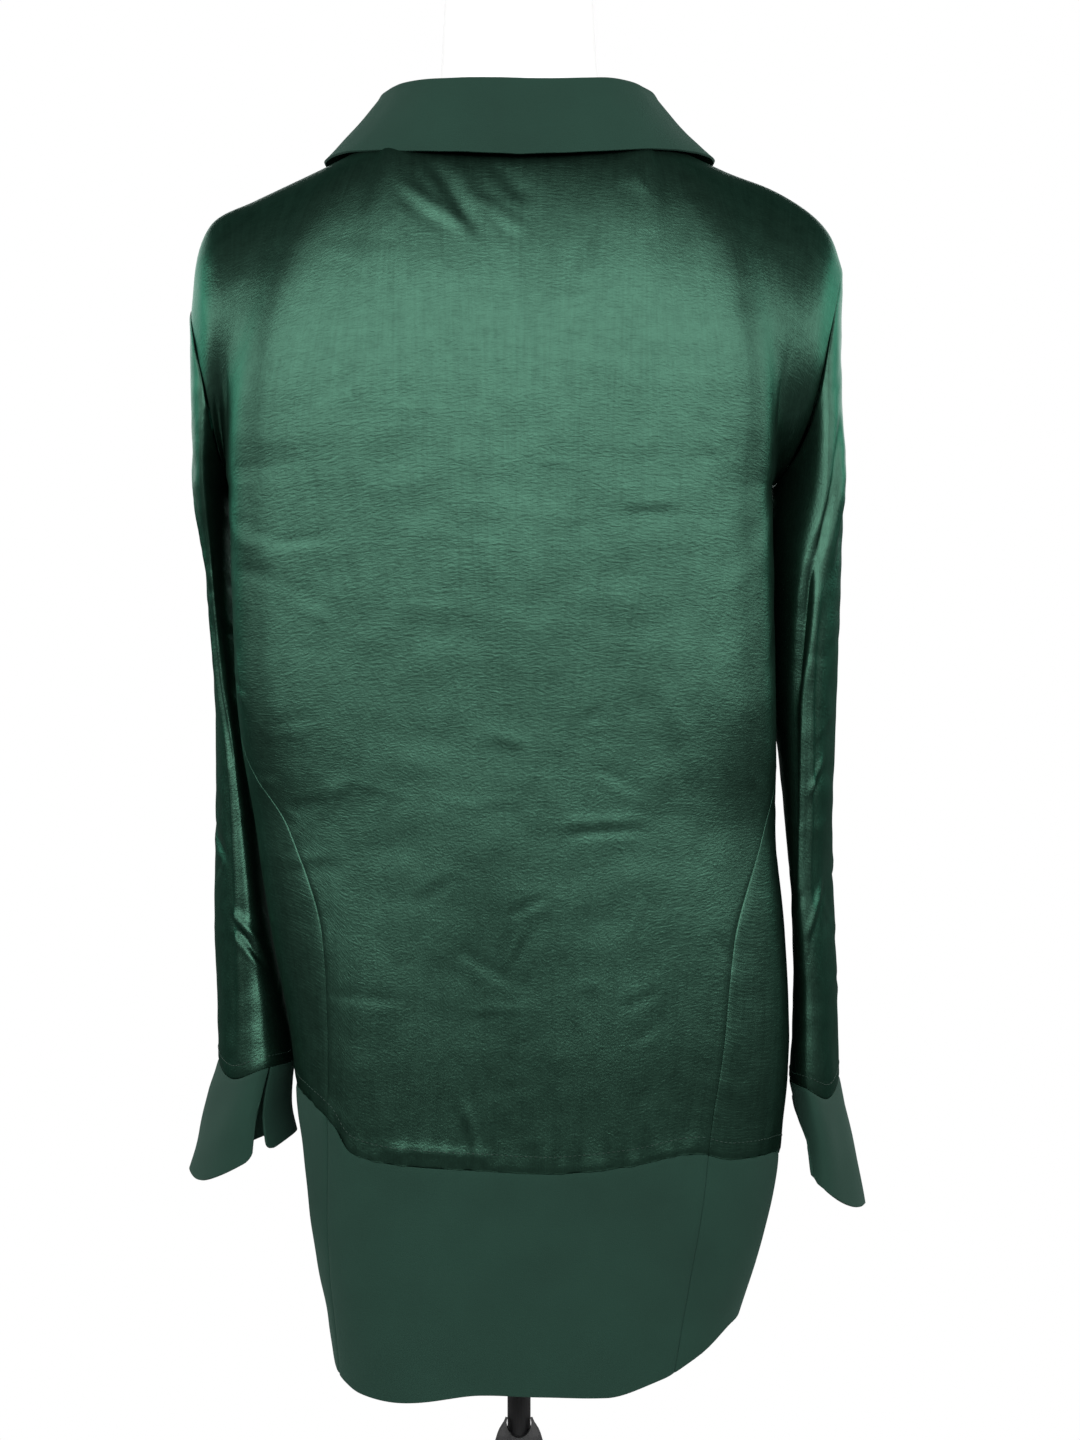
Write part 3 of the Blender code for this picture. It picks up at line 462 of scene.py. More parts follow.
def line_push(creases, along, height, per_degree):
    """Sum of the creases' pushes. Each is a bell across its own line, faded at both ends,
    with a shallow hollow beside it, measured in the flat of the cloth."""
    total = np.zeros(np.broadcast(along, height).shape)
    for crease in creases:
        from_a = wrapped(along - crease.turn_a) * per_degree
        rise_a = height - crease.height_a
        to_b = (crease.turn_b - crease.turn_a) * per_degree
        rise_b = crease.height_b - crease.height_a
        length = math.hypot(to_b, rise_b)
        share = (from_a * to_b + rise_a * rise_b) / length**2
        aside = (from_a * rise_b - rise_a * to_b) / length
        fade = smooth_step((share + 0.25) / 0.5) * smooth_step((1.25 - share) / 0.5)
        hollow = 0.45 * bell(aside - 1.7 * crease.width, crease.width)
        total = total + crease.push * fade * (bell(aside, crease.width) - hollow)
    return total


def small_creases(count, seed, turns, heights, per_degree, push):
    """A seeded table of short creases: most lie nearly level, as on washed satin."""
    draw = np.random.default_rng(seed)
    turn = draw.uniform(*turns, count)
    height = draw.uniform(*heights, count)
    length = draw.uniform(0.010, 0.040, count)
    angle = draw.normal(0.0, 0.55, count)
    side = draw.choice((-1.0, 1.0), count)
    width = draw.uniform(0.0022, 0.0042, count)
    depth = draw.uniform(0.25, 1.0, count) * push * side
    across = 0.5 * length * np.cos(angle) / per_degree
    rise = 0.5 * length * np.sin(angle)
    ends = (turn - across, height - rise, turn + across, height + rise)
    return table(CREASE_COLUMNS, *zip(*ends, width, depth))


BODY_SMALL_CREASES = small_creases(230, 11, (-90.0, 270.0), (0.72, 1.33), GIRTH_PER_DEGREE, 0.00032)


# --- The tunic's surfaces ---


def fold_push(turn, height):
    """How far the large folds push the cloth out: a bell in turn along each fold's line,
    faded in and out along it, and eased at the back."""
    push = np.zeros(np.broadcast(turn, height).shape)
    for fold in BODY_FOLDS:
        along = (fold.top - height) / (fold.top - fold.low)
        middle = fold.top_turn + (fold.low_turn - fold.top_turn) * along
        reach = smooth_step((along + 0.12) / 0.3) * smooth_step((1.12 - along) / 0.3)
        push = push + fold.push * reach * bell(wrapped(turn - middle), fold.width)
    return push * (1.0 - BACK_FOLD_EASE * soft_side(np.cos(np.radians(turn)), 4.0))


def body_ring(turn, height):
    """A level section of the body: a superellipse whose half widths and depths come from
    the table, pushed out by the folds."""
    angle = np.radians(turn)
    behind = soft_side(np.cos(angle))
    squareness = BODY_SQUARENESS_FRONT + (BODY_SQUARENESS_BACK - BODY_SQUARENESS_FRONT) * behind
    squareness = squareness + behind * CHEST_SQUARENESS * smooth_step((height - CHEST_FROM) / CHEST_FADE)
    to_back, to_right = rounded_square(angle, squareness)
    left, right, back, front = read(BODY_SECTIONS, height, "left", "right", "back", "front")
    half = mix(left, right, soft_side(-to_right))
    depth = mix(back, front, soft_side(to_back))
    push = fold_push(turn, height)
    x = -(half * to_right + push * np.sin(angle))
    y = depth * to_back + push * np.cos(angle)
    return np.stack((x, y, np.broadcast_to(height, x.shape)), axis=-1)


def panel_turn(is_back, across, height):
    """Turn of a panel's column: across runs from -1 to 1 between the side seams."""
    left_seam, right_seam = read(BODY_SECTIONS, height, "left_seam", "right_seam")
    if is_back:
        return across * (90.0 - np.where(across < 0.0, left_seam, right_seam))
    return 180.0 + across * (90.0 + np.where(across < 0.0, right_seam, left_seam))


def neckline(turn):
    """The neckline's point at a turn: its table's x, y and z, mirrored by the turn's sign."""
    x, y, z = read(NECK_POINTS, np.abs(turn), "x", "y", "z")
    return np.stack((-np.sign(turn) * x, y, z), axis=-1)


def seam_height(side, turn):
    """Height of the cuff seam at a turn around the sleeve."""
    return side.cuff.seam + SEAM_RISE - SEAM_DIP * bell(wrapped(turn - SEAM_DIP_TURN), SEAM_DIP_WIDTH)


def sleeve_lens(side, turn, height, wider=1.0, deeper=1.0):
    """How far a sleeve's section reaches outwards and backwards from its centre: a lens of
    the table's half sizes, made wider and deeper, and swung."""
    out, back = rounded_square(np.radians(turn), SLEEVE_SQUARENESS)
    across, deep, swing = read(side.rows, height, "across", "deep", "turn")
    out = out * wider * across
    back = back * deeper * deep
    swing = np.radians(swing)
    return out * np.cos(swing) - back * np.sin(swing), back * np.cos(swing) + out * np.sin(swing)


def sleeve_ring(side, turn, height):
    """A level section of a sleeve: its lens around the table's centre."""
    aside, back = sleeve_lens(side, turn, height)
    centre_x, centre_y = read(side.rows, height, "centre_x", "centre_y")
    return np.stack(
        (side.way * (centre_x + aside), centre_y + back, np.broadcast_to(height, aside.shape)), axis=-1
    )


def armhole(side, turn):
    """The armhole seam: an oblique cut through the sleeve's tube, highest on its outer line."""
    share = 0.5 + 0.5 * np.cos(np.radians(turn))
    return sleeve_ring(side, turn, UNDERARM_HEIGHT + (side.armhole_top - UNDERARM_HEIGHT) * share)


def top_edge(is_back, across):
    """The panel's top edge, neckline then shoulder seam, and how far its column rolls over."""
    size = np.abs(across)
    going_right = across > 0.0 if is_back else across < 0.0
    neck_turn = 90.0 * np.clip(size / NECK_SHARE, 0.0, 1.0)
    if not is_back:
        neck_turn = 180.0 - neck_turn
    neck = neckline(np.where(going_right, neck_turn, -neck_turn))
    along = (size - NECK_SHARE) / (1.0 - NECK_SHARE)
    left_x, left_z, right_x, right_z = read(SHOULDER_POINTS, along, "left_x", "left_z", "right_x", "right_z")
    seam_x = np.where(going_right, right_x, left_x)
    seam_z = np.where(going_right, right_z, left_z)
    seam = np.stack((seam_x, np.zeros(seam_x.shape), seam_z), axis=-1)
    level = smooth_step(size / NECK_SHARE)
    roll = (BACK_ROLL_AT_NECK if is_back else FRONT_ROLL_AT_NECK) * (1.0 - level) + 90.0 * level
    return np.where((size <= NECK_SHARE)[..., None], neck, seam), np.radians(roll)


def body_upper(is_back, across, rise):
    """A panel above the underarm: each column leaves the body's section upright and rolls
    over, as a quarter of a superellipse, to the top edge."""
    turn = panel_turn(is_back, across, UNDERARM_HEIGHT)
    start = body_ring(turn, UNDERARM_HEIGHT)
    end, roll = top_edge(is_back, across)
    down, up = rounded_square(rise * roll, SHOULDER_SQUARENESS)
    last_down, last_up = rounded_square(roll, SHOULDER_SQUARENESS)
    fall = (down - last_down) / (1.0 - last_down)
    lift = up / last_up
    point = start + (end - start) * np.stack((lift**1.6, 1.0 - fall, lift), axis=-1)
    push = fold_push(turn, point[..., 2]) * (1.0 - smooth_step((rise - 0.55) / 0.4))
    push = push - fold_push(turn, UNDERARM_HEIGHT) * (1.0 - smooth_step(rise / 0.9))
    return point + outward(turn) * push[..., None]


def panel_point(is_back, across, rise):
    """A panel above the underarm, drawn smoothly to the armhole at both sides."""
    point = body_upper(is_back, across, rise)
    way = 1.0 if is_back else -1.0
    for side in (LEFT, RIGHT):
        edge = -way * side.way
        hole = armhole(side, way * 180.0 * (1.0 - rise))
        free = body_upper(is_back, np.full(across.shape, edge), rise)
        near = smooth_step((across * edge - DRAWN_FROM) / (1.0 - DRAWN_FROM))
        point = point + (hole - free) * near[..., None]
    return point


def band_height(name, turn):
    """Height of the band's seam or hem at a turn."""
    return read(BAND_ROWS, (turn + 90.0) % 360.0 - 90.0, name)


def edge_dense(count, edge=(0.0015, 0.004, 0.009)):
    """Shares from 0 to 1 in even steps, with a few close ones at both ends."""
    middle = np.linspace(edge[-1], 1.0 - edge[-1], count)
    ends = np.array(edge[:-1])
    return np.concatenate(([0.0], ends, middle, 1.0 - ends[::-1], [1.0]))


def normals_of(points, closed=False):
    """Unit normals of a grid: the cross product of the steps along its columns and rows."""
    if closed:
        around = np.roll(points, -1, axis=1) - np.roll(points, 1, axis=1)
    else:
        around = np.gradient(points, axis=1)
    return unit(np.cross(around, np.gradient(points, axis=0)))


def raised(points, relief, closed=False):
    """A grid moved along its normals by its relief."""
    return points + normals_of(points, closed) * relief[..., None]


def walked_from(points, axis, from_end=False):
    """Distance along a grid's axis from its first or last point."""
    steps = np.linalg.norm(np.diff(points, axis=axis), axis=-1)
    start = np.zeros_like(np.take(steps, [0], axis=axis))
    walked = np.concatenate((start, np.cumsum(steps, axis=axis)), axis=axis)
    return np.take(walked, [-1], axis=axis) - walked if from_end else walked


def seam_dip(points, axis, ends, depth=SEAM_DEPTH, reach=SEAM_REACH):
    """How far the cloth sinks at its sewn edges: depth times a bell of the distance to each."""
    return -depth * sum(bell(walked_from(points, axis, from_end), reach) for from_end in ends)


def pucker(points, from_edge, seed, push, pitch):
    """Little puckers that a sewn line draws up: a fine wander beside the edge."""
    return push * wander(points, pitch, seed, (1.0, 1.0, 0.25)) * bell(from_edge, 0.014)


def body_relief(points, turn, satin):
    """The cloth's own unevenness on the body: a wander 110 mm long, then for crepe one of
    50 mm, and for satin one of 34 mm, the listed creases and the short ones."""
    relief = 0.0004 * wander(points, 0.110, 3, (1.0, 1.0, 0.45))
    if not satin:
        return relief + 0.00055 * wander(points, 0.050, 5)
    relief = relief + 0.0001 * wander(points, 0.034, 4, (0.9, 0.9, 1.1))
    return relief + line_push(BODY_CREASES + BODY_SMALL_CREASES, turn, points[..., 2], GIRTH_PER_DEGREE)


def body_grid(is_back, settings):
    """Grid of a satin panel from the band seam up, with its turns."""
    across = 2.0 * edge_dense(settings.body_columns) - 1.0
    foot = band_height("seam", panel_turn(is_back, across, BAND_SEAM_LEVEL))
    rise_low = edge_dense(settings.body_rows, (0.002, 0.006, 0.012))[:-3, None]
    height = foot + (UNDERARM_HEIGHT - foot) * rise_low
    turn_low = panel_turn(is_back, across, height)
    rise = edge_dense(settings.body_rows // 2, (0.004, 0.010, 0.020))[2:, None]
    wide = np.broadcast_to(across, (rise.size, across.size))
    high = panel_point(is_back, wide, np.broadcast_to(rise, wide.shape))
    turn_high = panel_turn(is_back, wide, UNDERARM_HEIGHT)
    return np.concatenate((body_ring(turn_low, height), high)), np.concatenate((turn_low, turn_high))


def body_panel(is_back, settings):
    """A satin panel: its grid, moved along its normals by the relief and its seams."""
    points, turn = body_grid(is_back, settings)
    relief = body_relief(points, turn, True) + pucker(points, walked_from(points, 0), 21, 0.0007, 0.011)
    shown = 0.15 + 0.85 * smooth_step((SIDE_SEAM_FADE - points[..., 2]) / 0.05)
    relief = relief + seam_dip(points, 0, BOTH_ENDS) + shown * seam_dip(points, 1, BOTH_ENDS)
    return raised(points, relief)


def band_panel(is_back, settings):
    """A hem band: the body's section from the hem up to the seam, with a soft relief."""
    across = 2.0 * edge_dense(settings.body_columns) - 1.0
    hem = band_height("hem", panel_turn(is_back, across, BAND_MIDDLE_LEVEL))
    seam = band_height("seam", panel_turn(is_back, across, BAND_SEAM_LEVEL))
    height = hem + (seam - hem) * edge_dense(settings.band_rows, (0.004, 0.012, 0.024))[:, None]
    turn = panel_turn(is_back, across, height)
    points = body_ring(turn, height)
    from_seam = walked_from(points, 0, True)
    relief = body_relief(points, turn, False) + pucker(points, from_seam, 22, 0.0004, 0.012)
    relief = relief + seam_dip(points, 0, LAST_END, 0.0005) + seam_dip(points, 1, BOTH_ENDS)
    return raised(points, relief)


def sleeve_surface(side, settings):
    """A sleeve: its tube from the cuff seam to the armhole, moved by its creases."""
    turn = np.linspace(0.0, 360.0, settings.sleeve_columns, endpoint=False)
    rise = edge_dense(settings.sleeve_rows, (0.002, 0.006, 0.012))[:, None]
    foot = seam_height(side, turn)
    height = foot + (armhole(side, turn)[:, 2] - foot) * rise
    points = sleeve_ring(side, turn, height)
    points[..., 0] = points[..., 0] + side.way * ARMHOLE_STEP * smooth_step((rise - 0.86) / 0.14)
    small = small_creases(70, 31 + side.seed, (0.0, 360.0), (0.80, 1.24), SLEEVE_PER_DEGREE, 0.00045)
    relief = line_push(side.creases + small, turn, height, SLEEVE_PER_DEGREE)
    relief = relief + 0.0005 * wander(points, 0.075, 33 + side.seed, (1.0, 1.0, 0.6))
    relief = relief + 0.00018 * wander(points, 0.026, 35, (0.8, 0.8, 1.2))
    relief = relief * smooth_step(rise / 0.03) + seam_dip(points, 0, BOTH_ENDS, 0.0007, 0.0018)
    return raised(points, side.way * relief, True)


def cuff_ring(side, around, share):
    """A cuff: the sleeve's end section, wider and further out with its drop. around runs from
    0 to 1 between its two ends, and share from 0 at the seam to 1 at the lower edge."""
    cuff = side.cuff
    before = read(CUFF_SECTIONS, share, side.open_before)
    after = read(CUFF_SECTIONS, share, side.open_after)
    out, wider, deeper = read(CUFF_SECTIONS, share, "out", "across", "deep")
    turn = cuff.slit_turn + before + (360.0 - before - after) * around
    height = seam_height(side, turn)
    aside, back = sleeve_lens(side, turn, height, wider, deeper)
    aside = aside + cuff.flare * out
    centre_x, centre_y = read(side.rows, height, "centre_x", "centre_y")
    z = cuff.seam + (height - cuff.seam) * (1.0 - share) - share * (cuff.drop + cuff.slope * aside)
    z = z + cuff.corner * share**2 * bell(wrapped(turn), CUFF_CORNER_WIDTH)
    return np.stack((side.way * (centre_x + aside), centre_y + back, z), axis=-1)


def cuff_surface(side, settings):
    """A cuff open at its slit, the corners beside the slit rounded by raising its edge."""
    around = edge_dense(settings.cuff_columns, (0.002, 0.006, 0.014))
    share = 1.0 - edge_dense(settings.cuff_rows, (0.01, 0.03, 0.06))[:, None]
    points = cuff_ring(side, around, share)
    from_end = np.minimum(around, 1.0 - around) * CUFF_GIRTH
    lift = CORNER_RADIUS * (1.0 - np.sqrt(1.0 - np.clip(1.0 - from_end / CORNER_RADIUS, 0.0, 1.0) ** 2))
    points[..., 2] = points[..., 2] + lift * share - CUFF_SEAM_CLEAR
    relief = 0.0007 * wander(points, 0.055, 41 + side.seed) * smooth_step(share / 0.3)
    return raised(points, side.way * (relief + seam_dip(points, 0, LAST_END)))


def collar_surface(settings):
    """The folded collar: a profile of outer edge, fall, half-round roll and stand, carried
    along the neckline and turned with it."""
    turn = COLLAR_END_TURN * (2.0 * edge_dense(settings.collar_columns, (0.0008, 0.002, 0.004)) - 1.0)
    size = np.abs(turn)
    base = neckline(turn)
    base[:, 2] = base[:, 2] + COLLAR_SEAM_CLEAR + COLLAR_FRONT_LIFT * smooth_step((size - 70.0) / 25.0)
    names = ("roll_out", "roll_up", "edge_out", "edge_up", "bow")
    roll_out, roll_up, edge_out, edge_up, bow = read(COLLAR_POINTS, size, *names)
    fall = edge_dense(settings.collar_rows, (0.008, 0.022, 0.045))[:-3, None]
    bend = np.radians(np.linspace(0.0, 180.0, 13))[1:-1, None]
    stand = np.linspace(0.0, 1.0, 12)[:, None]
    fall_out = edge_out + (roll_out + 2.0 * COLLAR_ROLL - edge_out) * fall + bow * np.sin(math.pi * fall)
    fall_up = edge_up + (roll_up - COLLAR_ROLL - edge_up) * fall
    bend_out = roll_out + COLLAR_ROLL + COLLAR_ROLL * np.cos(bend)
    bend_up = roll_up - COLLAR_ROLL + COLLAR_ROLL * np.sin(bend)
    out = np.concatenate((fall_out, bend_out, roll_out * (1.0 - stand)))
    up = np.concatenate((fall_up, bend_up, (roll_up - COLLAR_ROLL) * (1.0 - stand)))
    points = base + outward(turn) * out[..., None] + np.array((0.0, 0.0, 1.0)) * up[..., None]
    share = np.concatenate((np.ones(fall.size), np.linspace(1.0, 0.0, bend.size), np.zeros(stand.size)))
    relief = 0.0009 * wander(points, 0.080, 51) + 0.0003 * wander(points, 0.030, 52)
    return raised(points, relief * share[:, None])


def form_surface(settings):
    """The dress form: at each turn a smooth curve through the table's sections, closed by
    a level base and cap that shrink to a point."""
    turn = np.radians(np.linspace(0.0, 360.0, settings.form_columns, endpoint=False))
    to_back, to_right = rounded_square(turn, FORM_SQUARENESS)
    row = np.linspace(0.0, FORM_SECTIONS[-1].row, settings.form_rows)[:, None]
    height, half, back, front = read(FORM_SECTIONS, row, "height", "half_width", "back", "front")
    x = -(half - FORM_INSET) * to_right
    y = mix(back - FORM_INSET, front - FORM_INSET, soft_side(to_back)) * to_back
    side = np.stack((x, y, np.broadcast_to(height, x.shape)), axis=-1)
    shrink = np.array((0.002, 0.35, 0.7, 0.9, 0.97))[:, None, None] * np.array((1.0, 1.0, 0.0))
    keep = np.array((0.0, 0.0, 1.0))
    base = side[:1] * (shrink + keep)
    cap = side[-1:] * (shrink[::-1] + keep)
    cap[..., 2] = cap[..., 2] + CAP_RISE * (1.0 - shrink[::-1, :, 0])
    return np.concatenate((base, side, cap))


# --- Meshes ---


def cells(rows, columns, closed):
    """Corner numbers of a grid's cells, four to a cell, rows by columns."""
    row = np.arange(rows - 1)[:, None] * columns
    col = np.arange(columns if closed else columns - 1)[None, :]
    after = (col + 1) % columns
    return np.stack((row + col, row + after, row + columns + after, row + columns + col), axis=-1)


def smooth_mesh(name, points, faces):
    """A smooth-shaded mesh."""
    mesh = bpy.data.meshes.new(name)
    mesh.from_pydata(points, [], faces)
    mesh.update()
    mesh.polygons.foreach_set("use_smooth", np.ones(len(mesh.polygons), dtype=bool))
    return mesh


def grid_mesh(name, points, closed):
    """Mesh of a grid with a UV map in metres of cloth: u walks along the middle row and v
    along each column."""
    rows, columns, _ = points.shape
    faces = cells(rows, columns, closed)
    mesh = smooth_mesh(name, points.reshape(-1, 3), faces.reshape(-1, 4))
    middle = points[rows // 2]
    steps = np.linalg.norm(np.roll(middle, -1, axis=0) - middle, axis=-1)
    along = np.concatenate(([0.0], np.cumsum(steps)))
    col = np.arange(faces.shape[1])
    u = np.broadcast_to(along[np.stack((col, col + 1, col + 1, col), axis=-1)], faces.shape)
    v = walked_from(points, 0).reshape(-1)[faces]
    uv = mesh.uv_layers.new(name="cloth")
    uv.data.foreach_set("uv", np.stack((u, v), axis=-1).reshape(-1).astype(np.float32))
    return mesh


def place(name, mesh, material, group="Tunic on dress form"):
    """A new object in the named collection, with its material."""
    if group not in bpy.data.collections:
        bpy.context.scene.collection.children.link(bpy.data.collections.new(group))
    piece = bpy.data.objects.new(name, mesh)
    bpy.data.collections[group].objects.link(piece)
    if material is not None:
        mesh.materials.append(material)
    return piece


def apply_modifiers(piece):
    """Keep the evaluated mesh and drop the modifiers."""
    graph = bpy.context.evaluated_depsgraph_get()
    made = bpy.data.meshes.new_from_object(piece.evaluated_get(graph))
    piece.modifiers.clear()
    piece.data = made
    made.polygons.foreach_set("use_smooth", np.ones(len(made.polygons), dtype=bool))


def sew(settings, cut, name, node, points, side=LEFT):
    """A sewn piece: the grid is its outer face, thickened inwards, and crepe has its cut
    edges eased. Only a sleeve's grid is closed, and the right side's grids are turned
    round to face outwards."""
    closed = cut is SLEEVE_CUT
    thickness = getattr(settings, cut.cloth + "_thickness")
    outer = points if side is LEFT else points[:, ::-1]
    finish = shared({"satin": "washed satin", "crepe": "matte crepe"}[cut.cloth], settings)
    piece = place(name, grid_mesh(name, outer + AXIS, closed), finish)
    wall = piece.modifiers.new("wall", "SOLIDIFY")
    wall.thickness = thickness
    wall.offset = -1.0
    wall.use_even_offset = False
    if cut.cloth == "crepe":
        eased = piece.modifiers.new("eased edges", "BEVEL")
        eased.width = thickness * 0.3
        eased.segments = 2
        eased.limit_method = "ANGLE"
        eased.angle_limit = math.radians(60.0)
        eased.harden_normals = False
    apply_modifiers(piece)
    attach(piece, "root")
    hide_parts(node)


def close_ends(piece):
    """Fill the two small holes at the ends of a tube and turn its faces outwards."""
    work = bmesh.new()
    work.from_mesh(piece.data)
    bmesh.ops.holes_fill(work, edges=[edge for edge in work.edges if edge.is_boundary], sides=0)
    bmesh.ops.recalc_face_normals(work, faces=work.faces)
    work.to_mesh(piece.data)
    work.free()


def stitches(name, path, normal, material):
    """A row of stitches along a path: each is a thread of hexagonal section, bowed over the
    cloth, at even steps of the path's length."""
    steps = np.linalg.norm(np.diff(path, axis=0), axis=-1)
    walked = np.concatenate(([0.0], np.cumsum(steps)))
    middles = np.arange(0.5 * STITCH_PITCH, walked[-1] - 0.5 * STITCH_PITCH, STITCH_PITCH)
    rings = np.array((-0.5, -0.3, 0.0, 0.3, 0.5)) * STITCH_LENGTH
    height = np.array((-0.6, 0.55, 0.9, 0.55, -0.6)) * THREAD_RADIUS
    reach = np.array((0.55, 1.0, 1.0, 1.0, 0.55)) * THREAD_RADIUS
    sides = np.linspace(0.0, 2.0 * math.pi, THREAD_SIDES, endpoint=False)[:, None]

    def at(values, where):
        return np.stack([np.interp(where, walked, values[:, axis]) for axis in range(3)], axis=-1)

    where = middles[:, None] + rings
    over = unit(at(normal, where))
    along = unit(at(path, where + 1e-4) - at(path, where - 1e-4))
    aside = np.cross(along, over)
    centre = at(path, where) + over * height[:, None]
    round_it = np.cos(sides) * aside[:, :, None, :] + np.sin(sides) * over[:, :, None, :]
    points = centre[:, :, None, :] + reach[:, None, None] * round_it
    first = np.arange(middles.size)[:, None] * rings.size * THREAD_SIDES
    quads = first[:, :, None, None] + cells(rings.size, THREAD_SIDES, True)[..., ::-1]
    corner = np.arange(THREAD_SIDES)
    caps = np.concatenate((first + corner, first + rings.size * THREAD_SIDES - 1 - corner))
    faces = quads.reshape(-1, 4).tolist() + caps.tolist()
    piece = place(name, smooth_mesh(name, points.reshape(-1, 3) + AXIS, faces), material)
    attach(piece, "root")


# --- Materials ---


class Nodes:
    """Short names for building a material's nodes."""

    def __init__(self, name, **finish):
        self.material = bpy.data.materials.new(name)
        self.material.use_nodes = True
        self.tree = self.material.node_tree
        self.shader = self.filled(self.tree.nodes["Principled BSDF"], finish)

    def filled(self, node, values):
        """A node with its inputs set by name."""
        for name, value in values.items():
            node.inputs[name.replace("_", " ")].default_value = value
        return node

    def add(self, kind, **values):
        """A node of a kind, its inputs set by name."""
        return self.filled(self.tree.nodes.new(kind), values)

    def link(self, start, end):
        """Join an output to an input."""
        self.tree.links.new(start, end)

    def noise(self, stretch, scale, detail=3.0, roughness=0.55, distortion=0.0, on_cloth=False):
        """A noise's value on the piece's own or its cloth's coordinates, stretched."""
        if on_cloth:
            source = self.add("ShaderNodeUVMap")
            source.uv_map = "cloth"
            output = source.outputs["UV"]
        else:
            output = self.add("ShaderNodeTexCoord").outputs["Object"]
        mapping = self.add("ShaderNodeMapping", Scale=stretch)
        self.link(output, mapping.inputs["Vector"])
        sizes = {"Scale": scale, "Detail": detail, "Roughness": roughness, "Distortion": distortion}
        node = self.add("ShaderNodeTexNoise", **sizes)
        self.link(mapping.outputs["Vector"], node.inputs["Vector"])
        return node.outputs["Fac"]

    def woven(self, along, down, detail, roughness, distortion=0.0):
        """A noise of the cloth, so many to a metre across it and down it."""
        return self.noise((along, down, 1.0), 1.0, detail, roughness, distortion, True)

    def math(self, operation, first, second):
        """A math node of two values or sockets."""
        node = self.add("ShaderNodeMath")
        node.operation = operation
        for socket, value in zip(node.inputs, (first, second)):
            if isinstance(value, float):
                socket.default_value = value
            else:
                self.link(value, socket)
        return node.outputs[0]

    def mixed(self, one, share, other):
        """One value by its share and the other by the rest."""
        return self.math("ADD", self.math("MULTIPLY", one, share), self.math("MULTIPLY", other, 1.0 - share))

    def tint(self, value, colour, *stops):
        """Base colour along a value, through (position, share of the colour) stops."""
        node = self.add("ShaderNodeValToRGB")
        self.link(value, node.inputs["Fac"])
        while len(node.color_ramp.elements) < len(stops):
            node.color_ramp.elements.new(0.5)
        for element, (position, share) in zip(node.color_ramp.elements, stops):
            element.position = position
            element.color = (*shaded(colour, share), 1.0)
        self.link(node.outputs["Color"], self.shader.inputs["Base Color"])

    def rough(self, value, low, high):
        """Roughness from low to high along a value."""
        node = self.add("ShaderNodeMapRange", To_Min=low, To_Max=high)
        self.link(value, node.inputs["Value"])
        self.link(node.outputs["Result"], self.shader.inputs["Roughness"])

    def relief(self, *layers):
        """Bumps one over another, each a height, a strength and a distance in metres."""
        normal = None
        for height, strength, distance in layers:
            node = self.add("ShaderNodeBump", Strength=strength, Distance=distance)
            self.link(height, node.inputs["Height"])
            if normal is not None:
                self.link(normal, node.inputs["Normal"])
            normal = node.outputs["Normal"]
        self.link(normal, self.shader.inputs["Normal"])


def shaded(colour, share):
    """A colour made lighter or darker by a share."""
    return tuple(min(1.0, channel * share) for channel in colour)


def washed_satin(name, settings):
    """Washed satin: a broad tinted gloss over a dark ground, a fine crackle of level
    creases, a cloudy wash and the upright streaks of the weave."""
    made = Nodes(name, Metallic=0.9, Specular_IOR_Level=0.35, Specular_Tint=(0.36, 0.54, 0.47, 1.0))
    wash = made.mixed(made.noise(EVEN, 80.0, 8.0, 0.80), 0.70, made.woven(620.0, 14.0, 2.0, 0.6))
    made.tint(wash, settings.satin_colour, (0.33, 0.72), (0.51, 1.0), (0.69, 1.24))
    made.rough(wash, settings.satin_roughness - 0.05, settings.satin_roughness + 0.06)
    crackle = made.woven(75.0, 190.0, 4.0, 0.62, 0.6)
    ridges = made.math("ABSOLUTE", made.math("SUBTRACT", crackle, 0.5), 0.0)
    pebbles = made.woven(330.0, 620.0, 2.0, 0.5)
    weave = made.woven(2600.0, 260.0, 1.0, 0.5)
    made.relief((ridges, 0.21, 0.0014), (pebbles, 0.34, 0.0005), (weave, 0.20, 0.00015))
    return made.material


def matte_crepe(name, settings):
    """Matte crepe: a dull ground with a fine pebbled grain and a faint cloudy shade."""
    made = Nodes(
        name, Roughness=0.88, Specular_IOR_Level=0.22, Sheen_Weight=0.06, Sheen_Roughness=0.5,
        Sheen_Tint=(0.35, 0.75, 0.60, 1.0),
    )
    grain = made.woven(1500.0, 1500.0, 2.0, 0.6)
    shade = made.mixed(made.noise(EVEN, 14.0, 3.0, 0.6), 0.5, grain)
    made.tint(shade, settings.crepe_colour, (0.32, 0.84), (0.52, 1.0), (0.72, 1.16))
    made.relief((grain, 0.5, 0.00025), (made.woven(300.0, 900.0, 2.0, 0.5), 0.25, 0.0003))
    return made.material


def sewing_thread(name, settings):
    """Dark green sewing thread with a twist."""
    made = Nodes(name, Roughness=0.6)
    twist = made.noise((1800.0, 1800.0, 1800.0), 1.0, 1.0)
    made.tint(twist, shaded(settings.crepe_colour, 0.9), (0.35, 0.7), (0.65, 1.25))
    return made.material


def jersey_cover(name, settings):
    """The form's white jersey cover: a fine knit grain and a faint cloud of shade."""
    made = Nodes(name, Roughness=0.85, Specular_IOR_Level=0.25)
    made.tint(made.noise(EVEN, 7.0), settings.cover_colour, (0.3, 0.97), (0.7, 1.02))
    made.relief((made.noise((900.0, 900.0, 500.0), 1.0, 1.0), 0.3, 0.0002))
    return made.material


